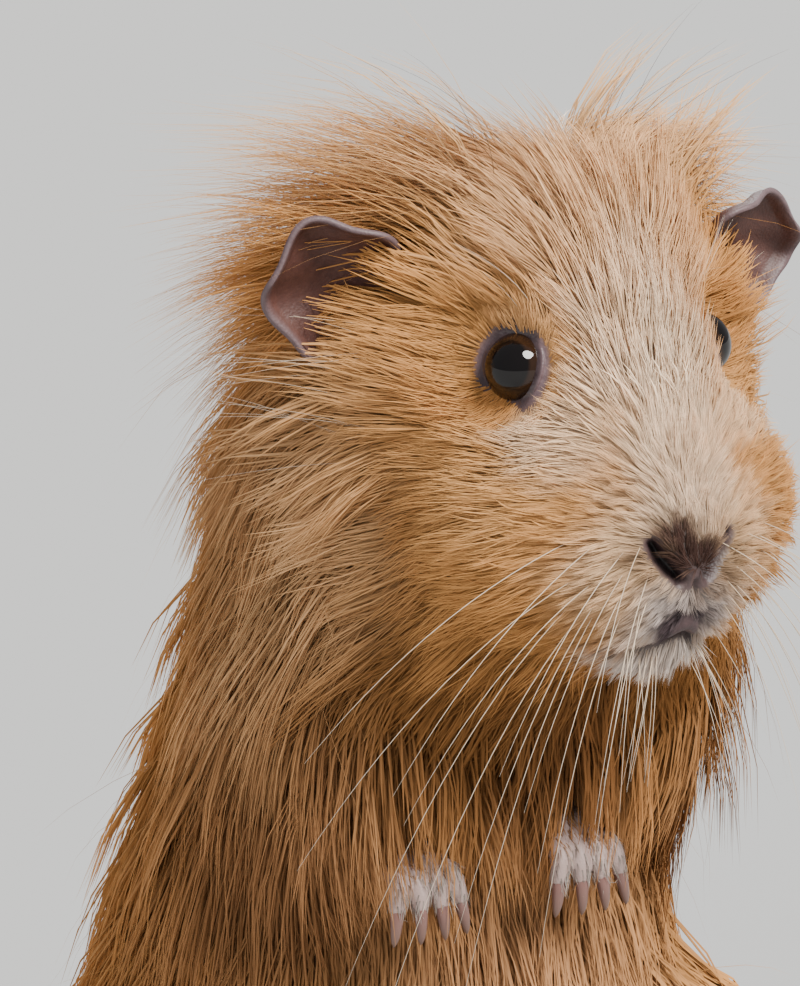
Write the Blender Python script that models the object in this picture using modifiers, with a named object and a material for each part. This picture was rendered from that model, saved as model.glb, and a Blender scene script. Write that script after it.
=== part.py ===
"""A long-haired golden guinea pig sitting up on its haunches: a still, life-size model.

The animal faces -Y, its right side is -X and +Z is up. The solids reach out to the tips of the
coat. The flesh is modelled whole as soft forms, then parted by thin cuts where a person would
name its parts. Sizes are in millimetres until a mesh is made.
"""

import math

import bmesh
import bpy
from mathutils import Matrix, Vector

MM = 0.001
GAP = 0.3  # between two pieces that meet
SLIVER = 0.003  # shorter edges are closed up after a cut
FLAT_ANGLE = 2.5  # degrees: flatter neighbours become one face

# Where the head is: the point between the two eyeballs, and what sits round it.
EYE_LINE = Vector((0, -30, 160))
EYE_SPREAD = 13.8  # from the mid-line to the centre of an eyeball
EYE_RADIUS = 4.8
EYE_AXIS = Vector((0.87, -0.42, 0.26))  # of the left eye: out, forward and a little up
NOSE_TIP = EYE_LINE + Vector((0, -23.4, -23.1))

# Ears: thin drooping flaps on the sides of the crown. The left one is folded shorter.
EAR_LENGTHS = {-1: 21, 1: 16}
EAR_MIDDLES = {-1: (-30.5, -20, 9), 1: (34.5, -19, 8.5)}
EAR_WIDTH = 19
EAR_THICKNESS = 1.2

# Feet, and the flats that they and the rump rest on.
FOREPAWS = {"right": Vector((-21, -14, 86)), "left": Vector((5, -14, 86))}
HIND_HEEL = Vector((33, 6, 5.5))
HIND_FOOT_LENGTH = 40
HIND_SPLAY = 9  # degrees that each hind foot turns out
FORE_TOES = 4
FORE_TOE_RADIUS = 1.45
HIND_TOES = 3
HIND_TOE_RADIUS = 2.2
SOLE_CUT = 0.6  # how much of each pad the flat takes away

FUR = {
    "crest": (0.60, 0.36, 0.20),
    "head": (0.52, 0.29, 0.15),
    "muzzle": (0.60, 0.50, 0.43),
    "lower_jaw": (0.55, 0.48, 0.44),
    "body": (0.40, 0.21, 0.09),
    "chest": (0.36, 0.19, 0.09),
    "foot": (0.42, 0.33, 0.28),
}
BARE = {"nose": (0.07, 0.03, 0.03), "lid": (0.20, 0.13, 0.14), "ear": (0.16, 0.08, 0.07)}
CLAW = (0.22, 0.14, 0.10)
EYE = (0.012, 0.006, 0.004)

for leftover in list(bpy.data.objects):
    bpy.data.objects.remove(leftover, do_unlink=True)
animal = bpy.data.collections.new("guinea_pig")
cutters = bpy.data.collections.new("cutters")
for collection in (animal, cutters):
    bpy.context.scene.collection.children.link(collection)
cutters.hide_render = True


def finish(name, colour, roughness=0.85):
    """The node's own Principled material."""
    material = bpy.data.materials.new(name)
    material.use_nodes = True
    shader = material.node_tree.nodes["Principled BSDF"]
    shader.inputs["Base Color"].default_value = (*colour, 1)
    shader.inputs["Roughness"].default_value = roughness
    shader.inputs["Metallic"].default_value = 0
    return material


def add_object(name, mesh, collection=animal):
    piece = bpy.data.objects.new(name, mesh)
    collection.objects.link(piece)
    return piece


def mesh_from(bm, name):
    mesh = bpy.data.meshes.new(name)
    bm.to_mesh(mesh)
    bm.free()
    return mesh


def evaluated_mesh(piece):
    graph = bpy.context.evaluated_depsgraph_get()
    return bpy.data.meshes.new_from_object(piece.evaluated_get(graph))


def keep_modifiers(piece):
    """Makes the modified shape the object's own mesh."""
    mesh = evaluated_mesh(piece)
    piece.modifiers.clear()
    piece.data = mesh
    return piece


# ---- soft forms -----------------------------------------------------------------------------


def put_ellipsoid(bm, centre, radii, tilt=0, turn=0, lean=0, detail=4):
    """tilt lowers the front (about X), turn goes about Z and lean about Y, in degrees."""
    spin = (
        Matrix.Rotation(math.radians(turn), 4, "Z")
        @ Matrix.Rotation(math.radians(lean), 4, "Y")
        @ Matrix.Rotation(math.radians(tilt), 4, "X")
    )
    place = Matrix.Translation(Vector(centre) * MM) @ spin @ Matrix.Diagonal((*(Vector(radii) * MM), 1))
    bmesh.ops.create_icosphere(bm, subdivisions=detail, radius=1, matrix=place)


def put_taper(bm, points, first_radius, last_radius, steps=8):
    """A round limb or lock of hair along a bent line through three points."""
    start, middle, end = (Vector(point) for point in points)
    for step in range(steps + 1):
        along = step / steps
        bend = start.lerp(middle, along).lerp(middle.lerp(end, along), along)
        radius = first_radius + (last_radius - first_radius) * along
        put_ellipsoid(bm, bend, (radius,) * 3, detail=3)


def soft_form(name, bm, voxel, smoothing, triangles, collection=animal):
    """Melts overlapping forms into one closed skin of about so many triangles."""
    piece = add_object(name, mesh_from(bm, name), collection)
    remesh = piece.modifiers.new("melt", "REMESH")
    remesh.mode = "VOXEL"
    remesh.voxel_size = voxel * MM
    smooth = piece.modifiers.new("soften", "SMOOTH")
    smooth.factor = 0.5
    smooth.iterations = smoothing
    keep_modifiers(piece)
    coarse = piece.modifiers.new("coarsen", "DECIMATE")
    coarse.ratio = min(1, triangles / (2 * len(piece.data.polygons)))
    return keep_modifiers(piece)


# ---- parting --------------------------------------------------------------------------------


def copy_of(piece, name, collection=cutters):
    return add_object(name, piece.data.copy(), collection)


def slice_off(piece, point, normal):
    """Keeps what lies on the normal's side of a plane, half a gap away from it."""
    normal = Vector(normal).normalized()
    bm = bmesh.new()
    bm.from_mesh(piece.data)
    bmesh.ops.bisect_plane(
        bm,
        geom=bm.verts[:] + bm.edges[:] + bm.faces[:],
        plane_co=(Vector(point) + normal * GAP / 2) * MM,
        plane_no=normal,
        clear_inner=True,
    )
    rim = [edge for edge in bm.edges if edge.is_boundary]
    bmesh.ops.holes_fill(bm, edges=rim, sides=0)
    bmesh.ops.recalc_face_normals(bm, faces=bm.faces)
    bmesh.ops.triangulate(bm, faces=bm.faces)
    bm.to_mesh(piece.data)
    bm.free()
    return piece


def swell(piece, by):
    """Moves a closed cutter's surface outwards."""
    mesh = piece.data
    normals = [vertex.normal.copy() for vertex in mesh.vertices]
    for vertex, normal in zip(mesh.vertices, normals):
        vertex.co += normal * by * MM
    return piece


def closed(bm):
    return all(edge.is_manifold for edge in bm.edges)


def tidy(mesh):
    """Drops what a cut leaves behind: crumbs, slivers and needless corners on flat faces."""
    bm = bmesh.new()
    bm.from_mesh(mesh)
    bmesh.ops.remove_doubles(bm, verts=bm.verts, dist=SLIVER * MM)
    bmesh.ops.dissolve_degenerate(bm, edges=bm.edges, dist=SLIVER * MM)
    drop_crumbs(bm)
    bmesh.ops.triangulate(bm, faces=bm.faces)
    whole = closed(bm)
    simple = bm.copy()
    bmesh.ops.dissolve_limit(
        simple, angle_limit=math.radians(FLAT_ANGLE), verts=simple.verts, edges=simple.edges
    )
    bmesh.ops.triangulate(simple, faces=simple.faces)
    kept = simple if closed(simple) else bm
    kept.to_mesh(mesh)
    simple.free()
    bm.free()
    return whole


def drop_crumbs(bm):
    """Keeps the largest of the bodies in a mesh."""
    left = set(bm.verts)
    bodies = []
    while left:
        queue = [left.pop()]
        body = set(queue)
        while queue:
            for edge in queue.pop().link_edges:
                for vertex in edge.verts:
                    if vertex in left:
                        left.remove(vertex)
                        body.add(vertex)
                        queue.append(vertex)
        bodies.append(body)
    bodies.sort(key=len)
    crumbs = [vertex for body in bodies[:-1] for vertex in body]
    bmesh.ops.delete(bm, geom=crumbs, context="VERTS")


def combine(piece, other, operation):
    """A Boolean with the exact solver, or with the manifold one where that leaves a gap."""
    step = piece.modifiers.new("cut", "BOOLEAN")
    step.operation = operation
    step.object = other
    mesh = evaluated_mesh(piece)
    if not tidy(mesh):
        step.solver = "MANIFOLD"
        mesh = evaluated_mesh(piece)
        tidy(mesh)
    piece.modifiers.clear()
    piece.data = mesh
    return piece


def cut_room(piece, neighbour, by=GAP):
    """Takes a neighbour's shape out of a piece, with the gap round it."""
    room = swell(copy_of(neighbour, "room_for_" + neighbour.name), by)
    combine(piece, room, "DIFFERENCE")
    bpy.data.objects.remove(room, do_unlink=True)


def part_out(whole_pieces, name, **form):
    """Turns the part of each piece inside an ellipsoid into one node of its own."""
    bm = bmesh.new()
    put_ellipsoid(bm, detail=2, **form)
    region = add_object("region_" + name, mesh_from(bm, name), cutters)
    part = combine(copy_of(envelope, name, animal), region, "INTERSECT")
    swell(region, GAP)
    for piece in whole_pieces:
        combine(piece, region, "DIFFERENCE")
    bpy.data.objects.remove(region, do_unlink=True)
    return part


# ---- the whole coat outline -----------------------------------------------------------------


def put_run(bm, stations, steps):
    """A smooth run of ellipsoids through stations of (centre, radii, tilt)."""
    flat = [[*centre, *radii, tilt] for centre, radii, tilt in stations]
    last = len(flat) - 1
    for step in range(steps + 1):
        place = last * step / steps
        first = min(int(place), last - 1)
        t = place - first
        before, start, end, after = (flat[min(max(first + k, 0), last)] for k in (-1, 0, 1, 2))
        *centre_radii, tilt = (
            q + 0.5 * ((r - p) * t + (2 * p - 5 * q + 4 * r - s) * t**2 + (3 * q - p - 3 * r + s) * t**3)
            for p, q, r, s in zip(before, start, end, after)
        )
        put_ellipsoid(bm, centre_radii[:3], centre_radii[3:], tilt=tilt)


def from_eyes(x, forward, up):
    return EYE_LINE + Vector((x, -forward, up))


coat = bmesh.new()

TRUNK = (
    ((-2, 28, 22), (51, 47, 25), 0),
    ((-3, 27, 46), (51, 45.5, 24), 0),
    ((-3, 23, 74), (46, 36, 18), 0),
    ((-1.5, 19, 92), (44.5, 32, 16), 0),
    ((0.5, 9, 112), (43, 36, 16), 0),
    ((1, 5, 126), (41.5, 36, 16), 0),
    ((0.5, 1, 144), (39.5, 32.5, 16), 0),
    ((0, -2, 159), (36.5, 26, 17), 0),
)
put_run(coat, TRUNK, 40)

# Head: from the back of the skull over the brow and the bridge to the muzzle.
HEAD = (
    (from_eyes(0, -22, 8), (24, 17, 19), 40),
    (from_eyes(0, -12, 7), (22, 17, 18), 42),
    (from_eyes(0, -2, 1), (16, 14, 14.5), 45),
    (from_eyes(0, 6.5, -9), (13.5, 11, 12), 50),
    (from_eyes(0, 12.5, -18), (12.2, 10.5, 10.5), 45),
    (from_eyes(0, 14, -22), (11.5, 9.3, 9.5), 20),
)
put_run(coat, HEAD, 24)
put_ellipsoid(coat, from_eyes(0, 12, -30), (12, 10.8, 8.5))
put_ellipsoid(coat, from_eyes(0, 9, -36.5), (9.5, 10, 6.5))
put_ellipsoid(coat, from_eyes(0, -8, -32), (27, 20, 15))
for side in (-1, 1):
    put_ellipsoid(coat, from_eyes(side * 13.5, -1, -22), (15, 17, 17.5), turn=side * 10)
    put_ellipsoid(coat, from_eyes(side * 7.5, 12, -25), (9, 9.7, 8.8))
    put_ellipsoid(coat, from_eyes(side * 20, -15, -8), (12, 13, 20))

# Haunches and shoulders.
for side in (-1, 1):
    put_ellipsoid(coat, (side * 34 - 2, 15, 34), (22, 38, 34), turn=-side * 8)
    put_ellipsoid(coat, (side * 26 - 2, 4, 100), (15, 17, 18))

envelope = soft_form("coat_outline", coat, 2.0, 16, 2220, cutters)
slice_off(envelope, (0, 0, -GAP / 2), (0, 0, 1))

# ---- head, neck and trunk, parted by plane cuts ---------------------------------------------

HEAD_CUT = (Vector((0, -10, 150)), Vector((0, -0.87, 0.49)))
NECK_CUT = (Vector((0, 0, 121)), Vector((0, -0.35, 0.94)))
WAIST_CUT = (Vector((0, 15, 78)), Vector((0, -0.15, 0.99)))
RUMP_CUT = (Vector((0, 38, 45)), Vector((0, -0.85, 0.53)))
MUZZLE_CUT = (from_eyes(0, 11.5, -18), Vector((0, -0.85, -0.53)))
MOUTH_CUT = (from_eyes(0, 20, -35), Vector((0, 0.18, -0.98)))


def region(name, *cuts):
    """The part of the outline on the stated side (+1 or -1) of each cut."""
    piece = copy_of(envelope, name, animal)
    for (point, normal), side in cuts:
        slice_off(piece, point, normal * side)
    tidy(piece.data)
    return piece


head = region("head", (HEAD_CUT, 1), (MUZZLE_CUT, -1), (MOUTH_CUT, -1))
muzzle = region("muzzle", (HEAD_CUT, 1), (MUZZLE_CUT, 1), (MOUTH_CUT, -1))
lower_jaw = region("lower_jaw", (HEAD_CUT, 1), (MOUTH_CUT, 1))
neck = region("neck", (HEAD_CUT, -1), (NECK_CUT, 1))
chest = region("chest", (HEAD_CUT, -1), (NECK_CUT, -1), (WAIST_CUT, 1))
belly = region("belly", (WAIST_CUT, -1), (RUMP_CUT, 1))
rump = region("rump", (WAIST_CUT, -1), (RUMP_CUT, -1))

for side, name in ((-1, "right"), (1, "left")):
    part_out(
        [belly, rump],
        "thigh_" + name,
        centre=(side * 37 - 2, 16, 33),
        radii=(23, 35, 34),
        turn=-side * 8,
    )

# ---- eyes and their lids --------------------------------------------------------------------

LID_MIDDLE = 5.5
LID_THICKNESS = 0.8
LID_FORWARD = 2.5
ORBIT_RADIUS = 7.6
ORBIT_DEPTH = 6.2

for side, name in ((-1, "right"), (1, "left")):
    centre = EYE_LINE + Vector((side * EYE_SPREAD, 0, 0))
    axis = Vector((side * EYE_AXIS.x, EYE_AXIS.y, EYE_AXIS.z)).normalized()
    ball = bmesh.new()
    bmesh.ops.create_uvsphere(
        ball, u_segments=16, v_segments=9, radius=EYE_RADIUS * MM, matrix=Matrix.Translation(centre * MM)
    )
    eye = add_object("eye_" + name, mesh_from(ball, "eye_" + name))
    bpy.ops.mesh.primitive_torus_add(
        major_radius=LID_MIDDLE * MM,
        minor_radius=LID_THICKNESS * MM,
        major_segments=16,
        minor_segments=4,
    )
    lid = bpy.context.object
    lid.name = "eyelid_" + name
    facing = axis.to_track_quat("Z", "Y").to_matrix().to_4x4()
    lid.data.transform(Matrix.Translation((centre + axis * LID_FORWARD) * MM) @ facing)
    for holder in list(lid.users_collection):
        holder.objects.unlink(lid)
    animal.objects.link(lid)
    hollow = bmesh.new()
    put_ellipsoid(hollow, centre, (ORBIT_RADIUS, ORBIT_RADIUS, ORBIT_DEPTH), detail=2)
    orbit = add_object("orbit", mesh_from(hollow, "orbit"), cutters)
    orbit.data.transform(Matrix.Translation(-centre * MM))
    orbit.data.transform(Matrix.Translation(centre * MM) @ facing)
    combine(head, orbit, "DIFFERENCE")
    bpy.data.objects.remove(orbit, do_unlink=True)

# ---- nose leather ---------------------------------------------------------------------------

leather = bmesh.new()
put_ellipsoid(leather, NOSE_TIP + Vector((0, 2.2, 0.4)), (6.8, 3.5, 4.3), tilt=-15, detail=2)
nose = add_object("nose", mesh_from(leather, "nose"))
for side in (-1, 1):
    pit = bmesh.new()
    put_ellipsoid(pit, NOSE_TIP + Vector((side * 4.1, 0, 0.2)), (1.0, 2.4, 2.3), lean=side * 40, detail=2)
    nostril = add_object("nostril", mesh_from(pit, "nostril"), cutters)
    combine(nose, nostril, "DIFFERENCE")
    bpy.data.objects.remove(nostril, do_unlink=True)
cut_room(muzzle, nose)

# ---- ears -----------------------------------------------------------------------------------


def ear_flap(side, middle):
    """A cupped petal with a wavy rim, hung from its inner edge, drooping out and back."""
    inward = Vector((side * -0.375, 0.897, 0.234)).normalized()
    outward = Vector((side * 0.861, 0.43, -0.269))
    outward = (outward - inward * outward.dot(inward)).normalized()
    down = inward.cross(outward) * side
    flap = bmesh.new()
    bmesh.ops.create_grid(flap, x_segments=6, y_segments=6, size=1)
    for vertex in flap.verts:
        across, along = vertex.co.x, vertex.co.y
        disc_across = across * math.sqrt(1 - along**2 / 2)
        disc_along = along * math.sqrt(1 - across**2 / 2)
        edge = min(1, math.hypot(disc_across, disc_along))
        bearing = math.atan2(disc_along, disc_across)
        wave = 1 + 0.07 * edge * math.cos(5 * bearing + 0.8)
        cup = 2.6 * (1 - edge**2) - 1.6 * max(0, disc_across) ** 2
        spot = middle + outward * disc_across * wave * EAR_WIDTH / 2
        vertex.co = (spot + down * disc_along * wave * EAR_LENGTHS[side] / 2 + inward * cup) * MM
    bmesh.ops.recalc_face_normals(flap, faces=flap.faces)
    name = "ear_right" if side < 0 else "ear_left"
    ear = add_object(name, mesh_from(flap, name))
    shell = ear.modifiers.new("thickness", "SOLIDIFY")
    shell.thickness = EAR_THICKNESS * MM
    shell.offset = 0
    return keep_modifiers(ear)


EAR_BAY = 9
EAR_GAP = 0.6  # wider, as the rim of the thin flap is sharp
for side in (-1, 1):
    middle = from_eyes(*EAR_MIDDLES[side])
    ear = ear_flap(side, middle)
    hollow = bmesh.new()
    put_ellipsoid(hollow, middle + Vector((side * 3, -6.5, -1)), (EAR_BAY,) * 3, detail=2)
    bay = add_object("ear_bay", mesh_from(hollow, "ear_bay"), cutters)
    for piece in (head, neck):
        combine(piece, bay, "DIFFERENCE")
        cut_room(piece, ear, by=EAR_GAP)
    bpy.data.objects.remove(bay, do_unlink=True)

# ---- crest: the long hair of the crown, parted along the middle -------------------------------

CREST_LOCKS = 6
for side, name in ((-1, "right"), (1, "left")):
    crown = bmesh.new()
    back = 4 if side < 0 else 0
    put_ellipsoid(crown, (side * 15, -10 + back, 184), (13.5, 16, 8), lean=side * 8)
    put_ellipsoid(crown, (side * 26, -8 + back, 182), (10, 13, 7), lean=side * 22)
    for lock in range(CREST_LOCKS):
        sweep = lock / (CREST_LOCKS - 1)
        root = Vector((side * (9 + 12 * sweep), -18 + back + 20 * sweep, 185))
        tip = Vector((side * (20 + 12 * sweep), -14 + back + 17 * sweep, 194 - 8 * sweep**2))
        rise = root.lerp(tip, 0.6) + Vector((0, 0, 4))
        put_taper(crown, (root, rise, tip), 4.5, 1.4)
    crest = soft_form("crest_" + name, crown, 1.5, 6, 200)
    cut_room(crest, envelope)
    cut_room(crest, bpy.data.objects["ear_" + name], by=EAR_GAP)
    slice_off(crest, (side * 0.5, 0, 0), (side, 0, 0))

# ---- forelegs and hind feet -------------------------------------------------------------------


def foot(name, solid, toes, triangles, floor=False):
    piece = soft_form(name, solid, 0.9, 4, triangles)
    if floor:
        slice_off(piece, (0, 0, -GAP / 2), (0, 0, 1))
    for number, (tip, heading) in enumerate(toes, 1):
        add_object(f"claw_{name}_{number}", claw_mesh(tip, heading))
    return piece


def claw_mesh(base, heading):
    """A small blunt cone that leaves the end of a toe."""
    bm = bmesh.new()
    middle = base + heading * CLAW_LENGTH / 2
    place = Matrix.Translation(middle * MM) @ heading.to_track_quat("Z", "Y").to_matrix().to_4x4()
    bmesh.ops.create_cone(
        bm,
        cap_ends=True,
        segments=6,
        radius1=0.95 * MM,
        radius2=0.3 * MM,
        depth=CLAW_LENGTH * MM,
        matrix=place,
    )
    bmesh.ops.triangulate(bm, faces=bm.faces)
    return mesh_from(bm, "claw")


CLAW_LENGTH = 3.6
for side, name in ((-1, "right"), (1, "left")):
    palm = FOREPAWS[name]
    paw = bmesh.new()
    put_ellipsoid(paw, palm + Vector((0, 1, 1.5)), (5, 4.6, 4.4))
    toes = []
    for toe in range(FORE_TOES):
        spread = toe - (FORE_TOES - 1) / 2
        root = palm + Vector((spread * 2.5, -1.5, 1))
        tip = palm + Vector((spread * 3.3, -5.3 + 0.7 * abs(spread), -3.0))
        knuckle = root.lerp(tip, 0.4) + Vector((0, -1.8, 1.4))
        put_taper(paw, (root, knuckle, tip), 2, FORE_TOE_RADIUS, steps=5)
        heading = Vector((spread * 0.12, -0.35, -1)).normalized()
        toes.append((tip + heading * (FORE_TOE_RADIUS + GAP), heading))
    forepaw = foot("forepaw_" + name, paw, toes, 235)
    elbow = Vector((side * 23 - 4, 6, 98))
    wrist = palm + Vector((0, 5.5, 4.5))
    arm = bmesh.new()
    put_taper(arm, (elbow, elbow.lerp(wrist, 0.5) + Vector((0, 0, -2)), wrist), 8, 5)
    forearm = soft_form("forearm_" + name, arm, 1.2, 4, 110)
    cut_room(forearm, forepaw)
    for piece in (chest, belly):
        cut_room(piece, forepaw)
        cut_room(piece, forearm)

for side, name in ((-1, "right"), (1, "left")):
    splay = math.radians(HIND_SPLAY)
    heading = Vector((side * math.sin(splay), -math.cos(splay), 0))
    across = Vector((heading.y, -heading.x, 0))
    heel = Vector((side * HIND_HEEL.x - 2, HIND_HEEL.y, HIND_HEEL.z))
    ball = heel + heading * HIND_FOOT_LENGTH * 0.68
    sole = bmesh.new()
    put_taper(sole, (heel, heel.lerp(ball, 0.5) + Vector((0, 0, 0.6)), ball), 6.3, 6)
    toes = []
    for toe in range(HIND_TOES):
        spread = toe - (HIND_TOES - 1) / 2
        root = ball + across * spread * 3.4 + Vector((0, 0, -1.2))
        tip = root + heading * (HIND_FOOT_LENGTH * 0.3 - abs(spread) * 1.6) + across * spread * 1.2
        tip.z = HIND_TOE_RADIUS - SOLE_CUT
        knuckle = root.lerp(tip, 0.5) + Vector((0, 0, 1.2))
        put_taper(sole, (root, knuckle, tip), 3.4, HIND_TOE_RADIUS, steps=5)
        point = (heading + Vector((0, 0, -0.14))).normalized()
        toes.append((tip + point * (HIND_TOE_RADIUS + GAP), point))
    hind_foot = foot("hind_foot_" + name, sole, toes, 230, floor=True)
    for piece in (belly, rump, bpy.data.objects["thigh_" + name]):
        cut_room(piece, hind_foot)

# ---- colours, and the origin under the middle --------------------------------------------------

bpy.context.view_layer.update()
corners = [vertex.co for piece in animal.objects for vertex in piece.data.vertices]
low, high = (Vector(pick(corner[axis] for corner in corners) for axis in range(3)) for pick in (min, max))
SHIFT = Vector((-(low.x + high.x) / 2, -(low.y + high.y) / 2, -low.z))

for piece in animal.objects:
    piece.data.transform(Matrix.Translation(SHIFT))
    kind = piece.name.rsplit("_", 1)[0]
    if kind == "eye":
        colour, roughness = EYE, 0.06
    elif kind.startswith("claw"):
        colour, roughness = CLAW, 0.4
    elif kind == "eyelid":
        colour, roughness = BARE["lid"], 0.5
    elif kind == "ear":
        colour, roughness = BARE["ear"], 0.6
    elif piece.name == "nose":
        colour, roughness = BARE["nose"], 0.5
    elif kind in ("forepaw", "hind_foot"):
        colour, roughness = FUR["foot"], 0.85
    else:
        colour = FUR.get(piece.name, FUR.get(kind, FUR["body"]))
        roughness = 0.85
    piece.data.materials.clear()
    piece.data.materials.append(finish(piece.name, colour, roughness))
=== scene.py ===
import math

import bmesh
import bpy
import numpy as np
from mathutils import Matrix, Vector
from mathutils.bvhtree import BVHTree
from mathutils.kdtree import KDTree


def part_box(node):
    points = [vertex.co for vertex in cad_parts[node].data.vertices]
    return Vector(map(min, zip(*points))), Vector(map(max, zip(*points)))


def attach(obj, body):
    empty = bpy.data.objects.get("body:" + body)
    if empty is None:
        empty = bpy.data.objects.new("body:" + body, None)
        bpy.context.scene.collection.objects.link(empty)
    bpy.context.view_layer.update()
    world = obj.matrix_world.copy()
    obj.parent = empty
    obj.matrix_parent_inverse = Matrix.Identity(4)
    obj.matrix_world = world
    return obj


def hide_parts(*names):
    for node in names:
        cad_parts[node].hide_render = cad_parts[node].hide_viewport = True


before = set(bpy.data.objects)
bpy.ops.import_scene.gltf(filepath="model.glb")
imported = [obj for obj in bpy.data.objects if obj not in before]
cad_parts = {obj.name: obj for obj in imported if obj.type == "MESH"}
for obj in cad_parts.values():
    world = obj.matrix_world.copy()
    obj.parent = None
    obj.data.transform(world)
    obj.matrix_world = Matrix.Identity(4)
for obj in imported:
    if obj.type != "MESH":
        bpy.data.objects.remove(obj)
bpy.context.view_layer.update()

# ---- Studio ------------------------------------------------------------------------------
# The animal sits on a plain pale floor that runs out of sight on every side. A long lens
# looks down on its face from its right front. Three wide, far lamps light it: a key from
# its left front, a weak fill from its right and a rim from behind.

MM = 0.001
eye_boxes = {name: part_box("eye_" + name) for name in ("right", "left")}
EYES = {name: (low + high) / 2 for name, (low, high) in eye_boxes.items()}
BETWEEN_EYES = (EYES["right"] + EYES["left"]) / 2

VIEW_TURN = math.radians(-30)
VIEW_TILT = math.radians(14)
VIEW_LENS = 200
VIEW_DISTANCE = 0.7353
AIM_LEFT = 27.92 * MM
AIM_DOWN = 18.32 * MM

toward_lens = Vector((
    math.sin(VIEW_TURN) * math.cos(VIEW_TILT),
    -math.cos(VIEW_TURN) * math.cos(VIEW_TILT),
    math.sin(VIEW_TILT),
))
view_right = Vector((math.cos(VIEW_TURN), math.sin(VIEW_TURN), 0))
view_up = toward_lens.cross(view_right)
aim = BETWEEN_EYES - view_right * AIM_LEFT - view_up * AIM_DOWN
lens = bpy.data.cameras.new("lens")
lens.lens = VIEW_LENS
camera = bpy.data.objects.new("camera", lens)
bpy.context.scene.collection.objects.link(camera)
camera.matrix_world = Matrix.Translation(aim + toward_lens * VIEW_DISTANCE) @ Matrix(
    (view_right, view_up, toward_lens)).transposed().to_4x4()
bpy.context.scene.camera = camera


def add_lamp(name, toward, strength, width, colour):
    """A far, wide round lamp: it lights the floor evenly as far as it can be seen."""
    lamp = bpy.data.lights.new(name, "SUN")
    lamp.energy = strength
    lamp.angle = math.radians(width)
    lamp.color = colour
    holder = bpy.data.objects.new(name, lamp)
    bpy.context.scene.collection.objects.link(holder)
    holder.matrix_world = Vector(toward).to_track_quat("Z", "Y").to_matrix().to_4x4()
    return holder


add_lamp("key", (0.30, -0.76, 1.0), 8.2, 28, (1.0, 0.98, 0.95))
fill = add_lamp("fill", (-1.3, -0.56, 0.5), 1.1, 45, (0.93, 0.96, 1.0))
fill.visible_glossy = False  # the wet eyes show the key lamp alone
add_lamp("rim", (0.5, 1.2, 0.85), 2.6, 30, (0.96, 0.98, 1.0))

# The air lights the animal evenly. To the lens it shows in the lit floor's own tone.
AIR = (0.336, 0.344, 0.357)
BACKDROP = (0.95, 0.95, 0.94)
world = bpy.data.worlds.new("studio_air")
world.use_nodes = True
air = world.node_tree
air_light = air.nodes["Background"]
air_light.inputs["Color"].default_value = (*AIR, 1)
backdrop = air.nodes.new("ShaderNodeBackground")
backdrop.inputs["Color"].default_value = (*BACKDROP, 1)
to_lens = air.nodes.new("ShaderNodeLightPath")
choose = air.nodes.new("ShaderNodeMixShader")
air.links.new(to_lens.outputs["Is Camera Ray"], choose.inputs[0])
air.links.new(air_light.outputs[0], choose.inputs[1])
air.links.new(backdrop.outputs[0], choose.inputs[2])
air.links.new(choose.outputs[0], air.nodes["World Output"].inputs["Surface"])
bpy.context.scene.world = world

FLOOR_SPAN = 60
FLOOR_GREY = (0.36, 0.36, 0.355)
floor_form = bmesh.new()
bmesh.ops.create_circle(floor_form, cap_ends=True, segments=64, radius=FLOOR_SPAN)
floor_mesh = bpy.data.meshes.new("floor")
floor_form.to_mesh(floor_mesh)
floor_form.free()
floor = bpy.data.objects.new("floor", floor_mesh)
bpy.context.scene.collection.objects.link(floor)
floor_finish = bpy.data.materials.new("pale_floor")
floor_finish.use_nodes = True
floor_shader = floor_finish.node_tree.nodes["Principled BSDF"]
floor_shader.inputs["Base Color"].default_value = (*FLOOR_GREY, 1)
floor_shader.inputs["Roughness"].default_value = 1
floor_shader.inputs["Specular IOR Level"].default_value = 0
floor_mesh.materials.append(floor_finish)

# ---- Hide --------------------------------------------------------------------------------
# The real skin is one elastic hide over the flesh. It is made from all the flesh nodes,
# melted into one form and drawn in by the depth of the coat that grows on it.

FLESH = (
    "head", "muzzle", "lower_jaw", "nose", "neck", "chest", "belly", "rump",
    "thigh_right", "thigh_left", "forearm_right", "forearm_left",
)
SOCKET_FILL = ("eye_right", "eye_left", "eyelid_right", "eyelid_left")
JOIN_SWELL = 0.35 * MM
HIDE_VOXEL = 1.3 * MM
MELT_ROUNDS = 34
DRAW_STEPS = 6
GUIDE_CORE = 3 * MM

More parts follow.
